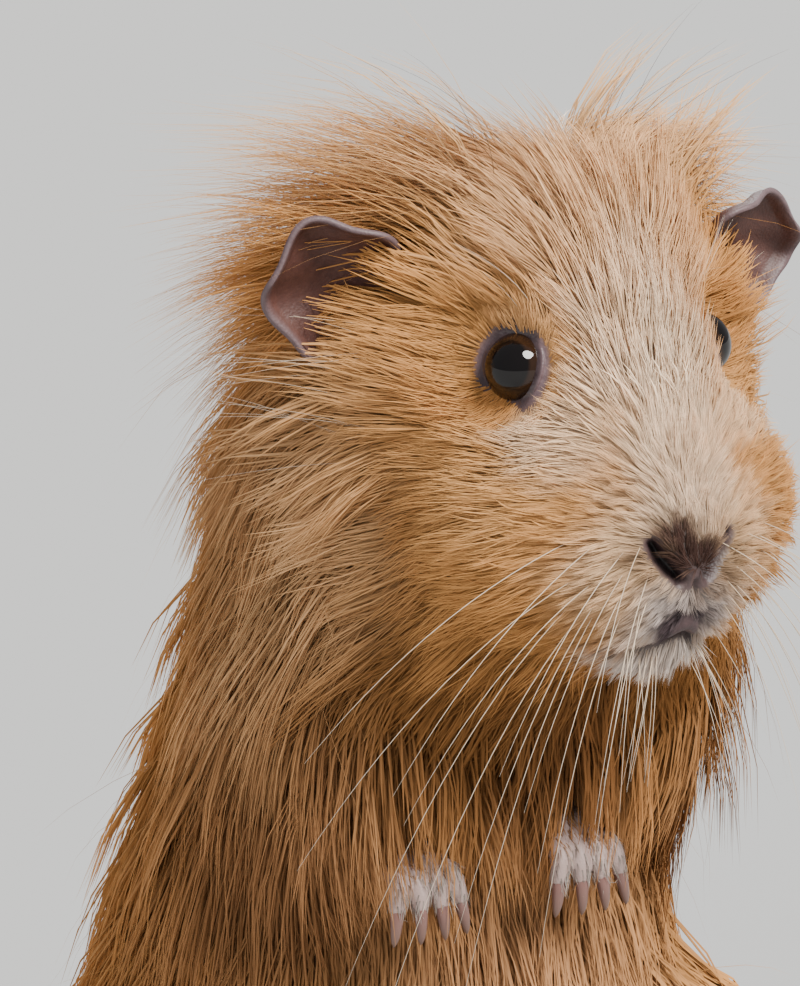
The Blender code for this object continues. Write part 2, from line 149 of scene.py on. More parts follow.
# Places over the body, in millimetres from between the eyes: side, forward and up. Each
# tells how the coat grows there: which way it lies (side, forward, up), its length in
# millimetres, its lift in degrees and the depth in millimetres that it gives the coat.
# Both sides grow alike, but for the crest, which stands taller on the right.
GROWTH = {
    "nose": ((0, 22, -18), (0, -0.4, 1), 2.0, 26, 0.6),
    "bridge": ((0, 15, -8), (0, -0.5, 0.85), 4.5, 22, 0.8),
    "brow": ((0, 7, 4), (0.1, -0.6, 0.8), 8.5, 20, 1.0),
    "forehead": ((5, -4, 15), (0.45, -0.45, 0.8), 16, 22, 1.6),
    "hairline": ((6, -12, 23), (0.9, -0.3, 0.5), 19, 30, 2.2),
    "lip": ((3, 21, -30), (0.8, 0, -0.6), 1.7, 30, 0.6),
    "lip_side": ((9, 16, -34), (0.75, -0.4, -0.5), 3.6, 30, 0.9),
    "whisker_pad": ((9, 17, -25), (0.8, -0.5, -0.2), 4.2, 34, 0.8),
    "nose_side": ((6, 18, -15), (0.7, -0.5, 0.4), 3.6, 28, 0.8),
    "chin": ((0, 16, -39), (0, -0.5, -0.85), 4.5, 28, 1.0),
    "under_eye": ((13, 9, -9), (0.7, -0.7, 0.1), 4.6, 18, 0.9),
    "eye": ((14, 4, 0), (0.6, -0.7, 0.3), 4.2, 18, 0.9),
    "over_eye": ((13, -2, 10), (0.45, -0.6, 0.65), 10, 22, 1.3),
    "temple": ((20, -9, 1), (0.35, -0.95, 0.0), 11, 20, 1.8),
    "cheek": ((20, 4, -18), (0.6, -0.8, -0.15), 8, 20, 1.8),
    "cheek_back": ((28, -9, -16), (0.3, -0.8, -0.5), 16, 22, 3.0),
    "jowl": ((20, 0, -34), (0.35, -0.7, -0.65), 14, 24, 3.4),
    "jaw": ((8, 6, -44), (0.2, -0.5, -0.85), 11, 26, 3.0),
    "before_ear": ((25, -14, 8), (0.45, -0.9, 0.05), 17, 34, 2.0),
    "over_ear": ((21, -20, 19), (1, -0.25, 0.3), 34, 46, 3.0),
    "ear_top": ((25, -22, 13), (0.95, -0.4, 0.0), 24, 34, 3.0),
    "parting_front": ((0.8, -13, 22), (0.9, -0.3, 0.4), 11, 20, 2.0),
    "parting": ((0.8, -20, 25), (1, -0.1, 0.0), 10, 18, 2.5),
    "parting_back": ((1.5, -31, 22), (0.5, -0.85, 0.0), 22, 24, 3.0),
    "crest_inner": ((4.5, -18, 26), (0.6, -0.1, 0.7), 24, 72, 2.5),
    "crest": ((9, -19, 27), (0.75, -0.1, 0.6), 38, 68, 3.0),
    "crest_side": ((15, -15, 24), (0.85, -0.1, 0.5), 37, 64, 3.0),
    "right_crest": ((-9, -19, 28), (-0.7, -0.1, 0.6), 46, 76, 3.0),
    "right_crest_side": ((-16, -16, 26), (-0.85, -0.1, 0.5), 44, 72, 3.0),
    "right_over_ear": ((-21, -19, 21), (-1, -0.2, 0.3), 36, 52, 3.0),
    "crest_back": ((10, -32, 25), (0.8, -0.5, 0.2), 35, 58, 4.0),
    "behind_ear": ((32, -31, 0), (0.35, -0.5, -0.8), 25, 17, 7.0),
    "nape": ((0, -48, 10), (0, -0.7, -0.7), 27, 18, 7.0),
    "neck_side": ((38, -28, -30), (0.12, -0.3, -0.95), 28, 18, 8.0),
    "throat": ((0, 3, -54), (0, -0.15, -1), 22, 26, 6.0),
    "chest": ((0, 2, -72), (0, 0.05, -1), 27, 24, 7.5),
    "breast_side": ((22, -4, -64), (0.1, 0, -1), 27, 24, 7.5),
    "shoulder": ((38, -34, -60), (0.08, -0.2, -0.95), 29, 18, 8.0),
    "back": ((0, -78, -60), (0, -0.15, -1), 29, 15, 8.0),
    "flank": ((45, -55, -95), (0.08, -0.3, -0.95), 28, 17, 8.0),
    "belly": ((0, 2, -112), (0, 0, -1), 17, 24, 4.5),
    "groin": ((12, 4, -140), (0.1, 0.1, -1), 9, 24, 2.5),
    "haunch": ((50, -45, -120), (0.05, -0.35, -0.9), 22, 18, 6.0),
    "knee": ((40, -8, -118), (0.1, 0.25, -0.95), 14, 22, 3.5),
    "rump": ((0, -80, -135), (0, -0.2, -1), 24, 16, 7.0),
    "rump_side": ((40, -70, -140), (0.15, -0.25, -1), 22, 16, 6.5),
    "elbow": ((24, -16, -62), (-0.2, 0.35, -0.8), 16, 24, 3.0),
}


def guide_table():
    """Both sides of the growth places, in metres: places, lies, and length, lift, depth."""
    places, lies, amounts = [], [], []
    for name, ((side, forward, up), lie, length, lift, depth) in GROWTH.items():
        for mirror in ((1,) if name.startswith("right_") or not side else (1, -1)):
            places.append((side * mirror, -forward, up))
            lies.append((lie[0] * mirror, -lie[1], lie[2]))
            amounts.append((length * MM, math.radians(lift), depth * MM))
    return np.array(places) * MM + np.array(BETWEEN_EYES), np.array(lies), np.array(amounts)


guide_places, guide_lies, guide_amounts = guide_table()


def growth(points):
    """The lie, and the length, lift and depth, of the coat at each point.

    Near guides count for more. Round each eye the coat parts and grows short."""
    weights = np.empty((len(points), len(guide_places)))
    for number, place in enumerate(guide_places):
        gap = ((points - place) ** 2).sum(1)
        weights[:, number] = 1 / (gap + GUIDE_CORE**2) ** 2
    weights /= weights.sum(1, keepdims=True)
    lies, amounts = weights @ guide_lies, weights @ guide_amounts
    for centre in EYES.values():
        away = points - np.array(centre)
        gap = np.linalg.norm(away, axis=1)
        parts = 1.6 * (1 - smooth_step(gap, 6.5 * MM, 10.5 * MM))
        lies = lies + away / gap[:, None] * parts[:, None]
        amounts[:, 0] *= 0.3 + 0.7 * smooth_step(gap, 6 * MM, 13 * MM)
    return lies, amounts


def unit(vectors):
    return vectors / np.maximum(np.linalg.norm(vectors, axis=-1, keepdims=True), 1e-12)


def smooth_step(values, low, high):
    share = np.clip((values - low) / (high - low), 0, 1)
    return share * share * (3 - 2 * share)


def points_of(mesh):
    flat = np.empty(len(mesh.vertices) * 3)
    mesh.vertices.foreach_get("co", flat)
    return flat.reshape(-1, 3)


def set_points(mesh, points):
    mesh.vertices.foreach_set("co", points.astype(np.float32).ravel())
    mesh.update()


def normals_of(mesh):
    flat = np.empty(len(mesh.vertices) * 3, np.float32)
    mesh.vertex_normals.foreach_get("vector", flat)
    return flat.reshape(-1, 3).astype(float)


def edges_of(mesh):
    flat = np.empty(len(mesh.edges) * 2, np.int32)
    mesh.edges.foreach_get("vertices", flat)
    return flat.reshape(-1, 2)


def relax(points, edges, rounds, share=0.5, hold=None):
    """Moves each point towards the middle of its neighbours, less where hold is high."""
    count = len(points)
    start, end = edges[:, 0], edges[:, 1]
    near = np.bincount(start, minlength=count) + np.bincount(end, minlength=count)
    near = np.maximum(near, 1)[:, None]
    free = share if hold is None else share * (1 - hold)[:, None]
    for _ in range(rounds):
        total = np.empty_like(points)
        for axis in range(3):
            total[:, axis] = np.bincount(start, points[end, axis], count)
            total[:, axis] += np.bincount(end, points[start, axis], count)
        points = points + (total / near - points) * free
    return points


def add_piece(name, mesh):
    piece = bpy.data.objects.new(name, mesh)
    bpy.context.scene.collection.objects.link(piece)
    return piece


def evaluated_copy(piece):
    graph = bpy.context.evaluated_depsgraph_get()
    return bpy.data.meshes.new_from_object(piece.evaluated_get(graph))


def melt(form, name, voxel):
    """One closed skin round all the closed forms of a bmesh."""
    rough = bpy.data.meshes.new(name)
    form.to_mesh(rough)
    form.free()
    piece = add_piece(name, rough)
    remesh = piece.modifiers.new("melt", "REMESH")
    remesh.mode = "VOXEL"
    remesh.voxel_size = voxel
    mesh = evaluated_copy(piece)
    bpy.data.objects.remove(piece)
    return mesh


flesh_form = bmesh.new()
for node in FLESH + SOCKET_FILL:
    part = bmesh.new()
    part.from_mesh(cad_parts[node].data)
    bmesh.ops.remove_doubles(part, verts=part.verts, dist=1e-6)
    part.normal_update()
    for vertex in part.verts:
        vertex.co += vertex.normal * JOIN_SWELL
    swollen = bpy.data.meshes.new(node)
    part.to_mesh(swollen)
    part.free()
    flesh_form.from_mesh(swollen)
hide = melt(flesh_form, "hide", HIDE_VOXEL)
hide_edges = edges_of(hide)
hide_points = relax(points_of(hide), hide_edges, MELT_ROUNDS)
set_points(hide, hide_points)
for _ in range(DRAW_STEPS):
    hide_points = points_of(hide)
    depth = growth(hide_points)[1][:, 2]
    hide_points = hide_points - normals_of(hide) * (depth / DRAW_STEPS)[:, None]
    set_points(hide, relax(hide_points, hide_edges, 3))


def from_eyes(side, forward, up):
    """A place in metres, from millimetres off the point between the eyes."""
    return BETWEEN_EYES + Vector((side, -forward, up)) * MM


def refine(mesh, spots):
    """Splits the edges round each spot (a place and a radius) once."""
    fine = bmesh.new()
    fine.from_mesh(mesh)
    edges = [
        edge for edge in fine.edges
        if any(all((end.co - place).length < radius for end in edge.verts) for place, radius in spots)
    ]
    bmesh.ops.subdivide_edges(fine, edges=edges, cuts=1, use_grid_fill=True)
    fine.to_mesh(mesh)
    fine.free()


NOSE_TIP = from_eyes(0, 23.4, -23.1)
MOUTH = from_eyes(0, 20, -35.3)
FACE_REFINES = (
    ((EYES["right"], 13 * MM), (EYES["left"], 13 * MM), (NOSE_TIP, 11 * MM), (MOUTH, 13 * MM)),
    ((EYES["right"], 9.5 * MM), (EYES["left"], 9.5 * MM), (NOSE_TIP, 8.5 * MM), (MOUTH, 11 * MM)),
)
for spots in FACE_REFINES:
    refine(hide, spots)
    near_face = np.zeros(len(hide.vertices))
    points = points_of(hide)
    for place, radius in spots:
        away = np.linalg.norm(points - np.array(place), axis=1)
        near_face = np.maximum(near_face, 1 - smooth_step(away, radius * 0.8, radius * 1.1))
    set_points(hide, relax(points, edges_of(hide), 4, hold=1 - near_face))

# Lids: the hide dips behind the eyeball inside the opening, rests on it at the margin, and
# rolls back over a bare rim to the cheek. Angles are degrees from the way the eye looks.
EYE_RADIUS = 4.8 * MM
EYE_LOOKS = {"left": Vector((0.87, -0.42, 0.26)), "right": Vector((-0.87, -0.42, 0.26))}
OPENING = {"front": 58, "back": 64, "top": 70, "bottom": 74}
LID_ROLL = 5
LID_BAND = 1.9
CREASE_AT = 1.15
INSIDE = 1.5 * MM
ORBIT_BRIM = 2.3 * MM
MARGIN = 0.12 * MM
ROLL_HEIGHT = 0.75 * MM
points = points_of(hide)
lid_mask = np.zeros(len(points))
wet_mask = np.zeros(len(points))
for name, centre in EYES.items():
    look = np.array(EYE_LOOKS[name].normalized())
    front = unit(np.array((0, -1, 0)) - look * -look[1])
    above = np.cross(look, front)
    above *= np.sign(above[2])
    away = points - np.array(centre)
    reach = np.linalg.norm(away, axis=1)
    ahead, upward = away @ front, away @ above
    round_way = np.maximum(np.hypot(ahead, upward), 1e-9)
    ahead, upward = ahead / round_way, upward / round_way

    # How many degrees the lids stand open, each way round the eye.
    opening = (
        ahead**2 * np.where(ahead > 0, OPENING["front"], OPENING["back"])
        + upward**2 * np.where(upward > 0, OPENING["top"], OPENING["bottom"])
    )

    # A brow or a cheek that stands out past the brim of the orbit is pressed back to it.
    height_out = away @ look
    brim = ORBIT_BRIM + 3 * MM * smooth_step(round_way, 6.5 * MM, 12.5 * MM)
    over = np.maximum(height_out - brim, 0) * (reach < 15 * MM)
    over *= smooth_step(round_way, 2 * MM, 4.5 * MM) * (1 - smooth_step(reach, 9 * MM, 14 * MM))
    away = away - look * over[:, None]
    points = np.array(centre) + away

    # The lid goes under the ball inside the opening, rests on it at the margin, then rises
    # in a soft roll and runs out to the cheek over a crease. The front corner is wider.
    reach = np.linalg.norm(away, axis=1)
    angle = np.degrees(np.arccos(np.clip(away @ look / reach, -1, 1)))
    corner = np.clip(ahead * 0.66 - upward * 0.75, 0, 1) ** 4
    past = angle - opening
    edge_out = EYE_RADIUS * np.sin(np.radians(opening))
    edge_up = EYE_RADIUS * np.cos(np.radians(opening))
    beyond = np.hypot(round_way - edge_out, away @ look - edge_up) / MM
    band = LID_BAND + 0.9 * corner
    inside = EYE_RADIUS - INSIDE
    margin = inside + (EYE_RADIUS + MARGIN - inside) * smooth_step(past, -5, 0)
    rolled = margin + ROLL_HEIGHT * smooth_step(past, 0, LID_ROLL)
    blend = smooth_step(beyond, 0.5, band + 1.2) * (past > 0)
    crease = 0.2 * MM * np.exp(-(((beyond - CREASE_AT) / 0.3) ** 2)) * (past > 0)
    close = 1 - smooth_step(reach, 6.3 * MM, 9.0 * MM)
    target = reach + (rolled + (reach - rolled) * blend - crease - reach) * close
    here = (reach < 12 * MM) & (angle < 125)
    points[here] = np.array(centre) + away[here] * (target / reach)[here, None]

    # The rim is bare, and wet where it meets the ball. The hide beyond is smoothed into it.
    rim = smooth_step(past, -12, -4) * (1 - smooth_step(beyond, band - 0.5, band + 0.5)) * close
    lid_mask = np.where(here, np.maximum(lid_mask, rim), lid_mask)
    wet = smooth_step(past, -12, -4) * (1 - smooth_step(past, 1, 6)) * close
    wet_mask = np.where(here, np.maximum(wet_mask, wet), wet_mask)
    settle = smooth_step(beyond, 1.6, 3.0) * (reach < 12 * MM) * (reach > 5 * MM)
    points = relax(points, edges_of(hide), 6, hold=1 - settle)
set_points(hide, points)

# Nose and mouth: two slanting comma slits in dark leather, a groove down to the lip, and
# a short mouth under two soft pads. A nostril's knots are millimetres across and up from
# the nose's tip.
NOSTRIL = ((2.3, -2.6), (3.6, -1.2), (5.0, 0.6), (5.9, 2.4))
SLIT_STEPS = 24
SLIT_DEPTH = 2.4
GROOVE_DEPTH = 0.6
LIP_DEPTH = 1.3
PAD_SWELL = 0.45
points = points_of(hide)
inward = normals_of(hide)
local = (points - np.array(NOSE_TIP)) / MM
across, up, deep = np.abs(local[:, 0]), local[:, 2], local[:, 1]
front_face = 1 - smooth_step(deep, 7, 11)

# How far each point is from the nearer nostril, and where along it.
slit = np.full(len(points), 99.0)
slit_along = np.zeros(len(points))
for step in range(SLIT_STEPS + 1):
    share = step / SLIT_STEPS * (len(NOSTRIL) - 1)
    first = min(int(share), len(NOSTRIL) - 2)
    part = share - first
    knot = [NOSTRIL[first][axis] * (1 - part) + NOSTRIL[first + 1][axis] * part for axis in (0, 1)]
    gap = np.hypot(across - knot[0], up - knot[1])
    closer = gap < slit
    slit = np.where(closer, gap, slit)
    slit_along = np.where(closer, step / SLIT_STEPS, slit_along)

# The slits are pressed in with a raised rim, and the groove runs down between them.
slit_width = 0.45 + 0.65 * np.sin(np.pi * np.clip(slit_along * 0.85 + 0.1, 0, 1))
pit = SLIT_DEPTH * np.exp(-((slit / slit_width) ** 2))
rim = 0.2 * np.exp(-(((slit - 1.9) / 0.9) ** 2))
groove = GROOVE_DEPTH * np.exp(-((across / 0.45) ** 2))
groove *= smooth_step(up, -9.5, -8) * (1 - smooth_step(up, -3.4, -2.2))
shift = (rim - pit - groove) * front_face

# The mouth's line sinks to its corners and rises in the middle, under the swelling pads.
mouth_up = points[:, 2] - BETWEEN_EYES.z
mouth_side = (points[:, 0] - BETWEEN_EYES.x) / MM
mouth_line = mouth_up / MM + 35.4 + 0.8 * (mouth_side / 8.5) ** 2
mouth_line -= 1.1 * np.exp(-((mouth_side / 1.6) ** 2))
mouth_reach = (1 - smooth_step(np.abs(mouth_side), 7.5, 10.0)) * (1 - smooth_step(deep, 9, 13))
lips = LIP_DEPTH * np.exp(-((mouth_line / 0.55) ** 2)) * mouth_reach
pads = PAD_SWELL * np.exp(-(((mouth_line - 1.7) / 1.1) ** 2)) * mouth_reach
points = points + inward * ((shift - lips + pads) * MM)[:, None]
set_points(hide, points)

# The leather is bare round the slits and between them, and along the lips and the cleft.
between_slits = smooth_step(up, -5.2, -3.6) * (1 - smooth_step(up, -2.4, 0.2))
leather_mask = front_face * np.maximum(
    1 - smooth_step(slit, 0.7, 2.0),
    0.9 * (1 - smooth_step(across, 1.6, 3.4)) * between_slits,
)
# Inside the slits the hide is painted near black, as painted shade in the nostrils.
nostril_shade_mask = front_face * np.exp(-((slit / (slit_width * 0.9)) ** 2))
cleft_gap = np.hypot(mouth_side / 2.6, (mouth_line - 1.9) / 2.5)
lip_mask = np.maximum(
    mouth_reach * np.exp(-(mouth_line**2)),
    (1 - smooth_step(cleft_gap, 0.6, 1.15)) * (1 - smooth_step(deep, 9, 12)),
)


def put_ball(form, centre, radii):
    place = Matrix.Translation(centre) @ Matrix.Diagonal((*radii, 1))
    bmesh.ops.create_icosphere(form, subdivisions=3, radius=1, matrix=place)


def put_limb(form, start, middle, end, first_radius, last_radius, steps):
    """Overlapping balls along a bent line through three places."""
    for step in range(steps + 1):
        along = step / steps
        bend = start.lerp(middle, along).lerp(middle.lerp(end, along), along)
        put_ball(form, bend, (first_radius + (last_radius - first_radius) * along,) * 3)


def smoothed(mesh, rounds):
    set_points(mesh, relax(points_of(mesh), edges_of(mesh), rounds))
    return mesh


# Paws: four short toes before and three behind, each ending in a claw. The forepaws hang
# from their wrists, and the hind feet stand flat.
PAW_VOXEL = 0.42 * MM
FOOT_VOXEL = 0.6 * MM
FORE_PALMS = {"right": from_eyes(-21, -16, -74), "left": from_eyes(5, -16, -74)}
HEELS = {"right": from_eyes(-35, -36, -154.5), "left": from_eyes(31, -36, -154.5)}
FOOT_LENGTH = 40 * MM
FOOT_SPLAY = math.radians(9)
SOLE_HEIGHT = 0.15 * MM
limbs = []
claw_roots = {}
for name, palm in FORE_PALMS.items():
    paw = bmesh.new()
    put_ball(paw, palm + Vector((0, 1, 1.5)) * MM, (4.6 * MM, 4.2 * MM, 4.2 * MM))
    wrist = palm + Vector((0, 5.5, 4.5)) * MM
    put_limb(paw, palm, palm.lerp(wrist, 0.5), wrist + (wrist - palm) * 0.6, 4 * MM, 4.6 * MM, 4)
    for toe in range(4):
        spread = toe - 1.5
        root = palm + Vector((spread * 2.5, -1.5, 1)) * MM
        tip = palm + Vector((spread * 3.3, -5.3 + 0.7 * abs(spread), -3)) * MM
        knuckle = root.lerp(tip, 0.4) + Vector((0, -1.8, 1.4)) * MM
        put_limb(paw, root, knuckle, tip, 1.75 * MM, 1.25 * MM, 8)
        heading = Vector((spread * 0.12, -0.35, -1)).normalized()
        claw_roots[f"claw_forepaw_{name}_{toe + 1}"] = (tip, heading, 1.25 * MM)
    limbs.append(smoothed(melt(paw, "forepaw", PAW_VOXEL), 3))
for name, heel in HEELS.items():
    side = 1 if name == "left" else -1
    heading = Vector((side * math.sin(FOOT_SPLAY), -math.cos(FOOT_SPLAY), 0))
    across_foot = Vector((heading.y, -heading.x, 0))
    ball_place = heel + heading * FOOT_LENGTH * 0.68
    sole = bmesh.new()
    arch = heel.lerp(ball_place, 0.5) + Vector((0, 0, 0.6 * MM))
    put_limb(sole, heel, arch, ball_place, 5.2 * MM, 5.0 * MM, 14)
    for toe in range(3):
        spread = toe - 1
        root = ball_place + across_foot * spread * 3.4 * MM + Vector((0, 0, -1.2)) * MM
        tip = root + heading * (FOOT_LENGTH * 0.3 - abs(spread) * 1.6 * MM)
        tip += across_foot * spread * 1.2 * MM
        tip.z = 2.1 * MM
        put_limb(sole, root, root.lerp(tip, 0.5) + Vector((0, 0, 1.2 * MM)), tip, 2.9 * MM, 1.9 * MM, 8)
        point = (heading + Vector((0, 0, -0.14))).normalized()
        claw_roots[f"claw_hind_foot_{name}_{toe + 1}"] = (tip, point, 1.9 * MM)
    foot = smoothed(melt(sole, "hind_foot", FOOT_VOXEL), 3)
    flattened = points_of(foot)
    flattened[:, 2] = np.maximum(flattened[:, 2], SOLE_HEIGHT)
    set_points(foot, flattened)
    limbs.append(foot)

# Ears: thin bare flaps, cupped and wavy-rimmed, that droop out and back from the crown.
# Each is a square grid drawn into a disc, then bent and thickened.
EAR_LENGTHS = {"right": 21 * MM, "left": 16 * MM}
EAR_WIDTH = 19 * MM
EAR_THICKNESS = 0.75 * MM
EAR_PLACES = {"right": from_eyes(-30.5, -20, 9), "left": from_eyes(34.5, -19, 8.5)}
EAR_GRID = 44
flaps = []
hems = []
for name, middle in EAR_PLACES.items():
    side = 1 if name == "left" else -1
    inner = Vector((side * -0.375, 0.897, 0.234)).normalized()
    outer = Vector((side * 0.861, 0.43, -0.269))
    outer = (outer - inner * outer.dot(inner)).normalized()
    down = inner.cross(outer) * side
    flap = bmesh.new()
    bmesh.ops.create_grid(flap, x_segments=EAR_GRID, y_segments=EAR_GRID, size=1)
    hem_layer = flap.verts.layers.float.new("hem")
    for vertex in flap.verts:
        u, v = vertex.co.x, vertex.co.y
        disc_u, disc_v = u * math.sqrt(1 - v * v / 2), v * math.sqrt(1 - u * u / 2)
        edge = min(1, math.hypot(disc_u, disc_v))
        bearing = math.atan2(disc_v, disc_u)
        wave = 1 + 0.07 * edge * math.cos(5 * bearing + 0.8)
        cup = 2.9 * (1 - edge**2) - 1.6 * max(0, disc_u) ** 2
        fold = 0.8 * edge**3 * math.sin(4 * bearing + 1.2)
        fold += 0.22 * math.sin(9 * disc_v + 3 * disc_u) * edge
        hem = -1.2 * smooth_step(edge, 0.86, 1.0)
        spot = middle + outer * disc_u * wave * EAR_WIDTH / 2
        spot += down * disc_v * wave * EAR_LENGTHS[name] / 2
        vertex.co = spot + inner * (cup + fold + hem) * MM
        vertex[hem_layer] = smooth_step(edge, 0.92, 0.99)
    bmesh.ops.recalc_face_normals(flap, faces=flap.faces)
    leaf = bpy.data.meshes.new("ear")
    flap.to_mesh(leaf)
    flap.free()
    ear = add_piece("ear", leaf)
    shell = ear.modifiers.new("thickness", "SOLIDIFY")
    shell.thickness = EAR_THICKNESS
    shell.offset = 0
    shape = evaluated_copy(ear)
    hem_share = np.empty(len(shape.vertices), np.float32)
    shape.attributes["hem"].data.foreach_get("value", hem_share)
    hems.append(hem_share)
    flaps.append(shape)
    bpy.data.objects.remove(ear)

# The paws and ears join the hide as one mesh. Masks say what is bare, and how.
whole = bmesh.new()
whole.from_mesh(hide)
for piece in limbs + flaps:
    whole.from_mesh(piece)
face_count = len(hide.vertices)
limb_count = sum(len(piece.vertices) for piece in limbs)
whole.to_mesh(hide)
whole.free()
total = len(hide.vertices)
masks = {name: np.zeros(total) for name in ("leather", "pit", "lid", "wet", "ear", "hem", "paw")}
masks["leather"][:face_count] = np.maximum(leather_mask, lip_mask)
masks["pit"][:face_count] = np.clip(nostril_shade_mask, 0, 1)
masks["lid"][:face_count] = lid_mask
masks["wet"][:face_count] = wet_mask
masks["paw"][face_count : face_count + limb_count] = 1
masks["ear"][face_count + limb_count :] = 1
masks["hem"][face_count + limb_count :] = np.concatenate(hems)
for name, values in masks.items():
    hide.attributes.new(name, "FLOAT", "POINT").data.foreach_set("value", values.astype(np.float32))
skin = add_piece("skin", hide)
for polygon in hide.polygons:
    polygon.use_smooth = True
skin_finish = bpy.data.materials.new("hide")
skin_finish.use_nodes = True
hide.materials.append(skin_finish)
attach(skin, "root")
FEET = ("forepaw_right", "forepaw_left", "hind_foot_right", "hind_foot_left")
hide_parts(*FLESH, *FEET, "ear_right", "ear_left", "eyelid_right", "eyelid_left")

# ---- Eyes --------------------------------------------------------------------------------
# The real eye is a dark brown globe under a clear wet cornea. Each is one smooth ball with
# a slight swell before the iris, held by the lids of the hide.

EYE_SHADES = {"limb": (0.012, 0.006, 0.004), "iris": (0.018, 0.008, 0.004), "pupil": (0.003, 0.002, 0.002)}
CORNEA_SWELL = 0.25 * MM
eye_finish = bpy.data.materials.new("eye")
eye_finish.use_nodes = True
eye_shader = eye_finish.node_tree.nodes["Principled BSDF"]
eye_shader.inputs["Roughness"].default_value = 0.03
eye_shader.inputs["Specular IOR Level"].default_value = 0.4
for name, centre in EYES.items():
    ball = bmesh.new()
    bmesh.ops.create_uvsphere(ball, u_segments=64, v_segments=40, radius=EYE_RADIUS)
    look = EYE_LOOKS[name].normalized()
    for vertex in ball.verts:
        outward = vertex.co.normalized()
        vertex.co += outward * CORNEA_SWELL * smooth_step(outward.z, 0.5, 1.0)
    ball.transform(Matrix.Translation(centre) @ look.to_track_quat("Z", "Y").to_matrix().to_4x4())
    ball_mesh = bpy.data.meshes.new("eyeball_" + name)
    ball.to_mesh(ball_mesh)
    ball.free()
    ball_mesh.materials.append(eye_finish)
    eyeball = add_piece("eyeball_" + name, ball_mesh)
    for polygon in ball_mesh.polygons:
        polygon.use_smooth = True
    iris = ball_mesh.attributes.new("iris", "FLOAT", "POINT")
    turned = (points_of(ball_mesh) - np.array(centre)) @ np.array(look) / EYE_RADIUS
    iris.data.foreach_set("value", turned.astype(np.float32))
    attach(eyeball, "root")
    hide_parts("eye_" + name)


def paint_eye():
    """A black pupil in a dark brown iris, darker again at the limb."""
    tree = eye_finish.node_tree
    turned = tree.nodes.new("ShaderNodeAttribute")
    turned.attribute_name = "iris"
    rings = tree.nodes.new("ShaderNodeValToRGB")
    tree.links.new(turned.outputs["Fac"], rings.inputs["Fac"])
    ramp = rings.color_ramp
    stops = ((0.0, "limb"), (0.28, "limb"), (0.42, "iris"), (0.66, "iris"), (0.74, "pupil"), (1.0, "pupil"))
    while len(ramp.elements) < len(stops):
        ramp.elements.new(0.5)
    for element, (place, ring) in zip(ramp.elements, stops):
        element.position = place
        element.color = (*EYE_SHADES[ring], 1)
    tree.links.new(rings.outputs["Color"], eye_shader.inputs["Base Color"])


paint_eye()

# ---- Pelt --------------------------------------------------------------------------------
# The hide is laid out flat in pieces, as a pelt is for mounting. Each tuft of the coat
# takes a small patch of that layout, where it is rooted.

bpy.context.view_layer.objects.active = skin
skin.select_set(True)
bpy.ops.object.mode_set(mode="EDIT")
bpy.ops.mesh.select_all(action="SELECT")
bpy.ops.uv.smart_project(angle_limit=math.radians(66), island_margin=0.002)
bpy.ops.object.mode_set(mode="OBJECT")
hide.uv_layers.active.name = "OFBake"

# ---- Coat --------------------------------------------------------------------------------
# The real coat is single hairs, gathered in fine tufts. Each tuft here is a thin tapered
# lock that grows from the hide, lies along the body and leans to its neighbours' tips.

UP = np.array((0.0, 0.0, 1.0))
TUFT_PATCH = 0.003
# The share of the coat's colour on the hide under it: the hair's dull root, and painted shade beneath the
# tufts.
UNDERCOAT_AND_SHADE = 0.42

# The two tones that mottle each bare part of the hide. A later part lies over an earlier one.
BARE_SHADES = {
    "paw": ((0.34, 0.23, 0.20), (0.42, 0.31, 0.28)),
    "ear": ((0.045, 0.015, 0.012), (0.10, 0.040, 0.030)),
    "hem": ((0.080, 0.048, 0.050), (0.15, 0.100, 0.105)),
    "lid": ((0.070, 0.040, 0.045), (0.185, 0.12, 0.125)),
    "wet": ((0.028, 0.017, 0.018), (0.060, 0.038, 0.042)),
    "leather": ((0.030, 0.015, 0.015), (0.075, 0.042, 0.043)),
    # The pit's tones are painted shade inside the nostril slits.
    "pit": ((0.004, 0.002, 0.002), (0.008, 0.004, 0.004)),
}


class Ground:
    """The triangles of the hide that the coat grows from."""

    def __init__(self, mesh):
        mesh.calc_loop_triangles()
        count = len(mesh.loop_triangles)
        flat = np.empty(count * 3, np.int32)
        mesh.loop_triangles.foreach_get("vertices", flat)
        self.corners = flat.reshape(-1, 3)
        flat = np.empty(count * 3, np.int32)
        mesh.loop_triangles.foreach_get("loops", flat)
        uv = np.empty(len(mesh.loops) * 2, np.float32)
        mesh.uv_layers["OFBake"].uv.foreach_get("vector", uv)
        self.uv = uv.reshape(-1, 2)[flat.reshape(-1, 3)]
        self.points = points_of(mesh)
        self.normals = normals_of(mesh)
        spread = self.points[self.corners]
        shares = {}
        for name in BARE_SHADES:
            values = np.empty(len(self.points), np.float32)
            mesh.attributes[name].data.foreach_get("value", values)
            shares[name] = values[self.corners].mean(1)
        self.paw = shares["paw"]
        soft = np.maximum(shares["leather"], shares["lid"])
        hard = np.maximum.reduce([shares["pit"], shares["ear"], shares["paw"]])
        self.furred = (1 - smooth_step(soft, 0.35, 0.9)) * (1 - smooth_step(hard, 0.05, 0.4))
        edge_pair = spread[:, 1] - spread[:, 0], spread[:, 2] - spread[:, 0]
        self.areas = np.linalg.norm(np.cross(*edge_pair), axis=1) / 2
        self.middles = spread.mean(1)

    def sow(self, count, chance, rng):
        """Random roots, as many as asked, thicker where the chance of a triangle is higher."""
        odds = np.cumsum(self.areas * chance)
        picked = np.searchsorted(odds, rng.random(count) * odds[-1])
        first, second = rng.random((2, count))
        fold = first + second > 1
        first[fold], second[fold] = 1 - first[fold], 1 - second[fold]
        shares = np.stack((1 - first - second, first, second), 1)[:, :, None]
        roots = (self.points[self.corners[picked]] * shares).sum(1)
        normals = unit((self.normals[self.corners[picked]] * shares).sum(1))
        return roots, normals, (self.uv[picked] * shares).sum(1)


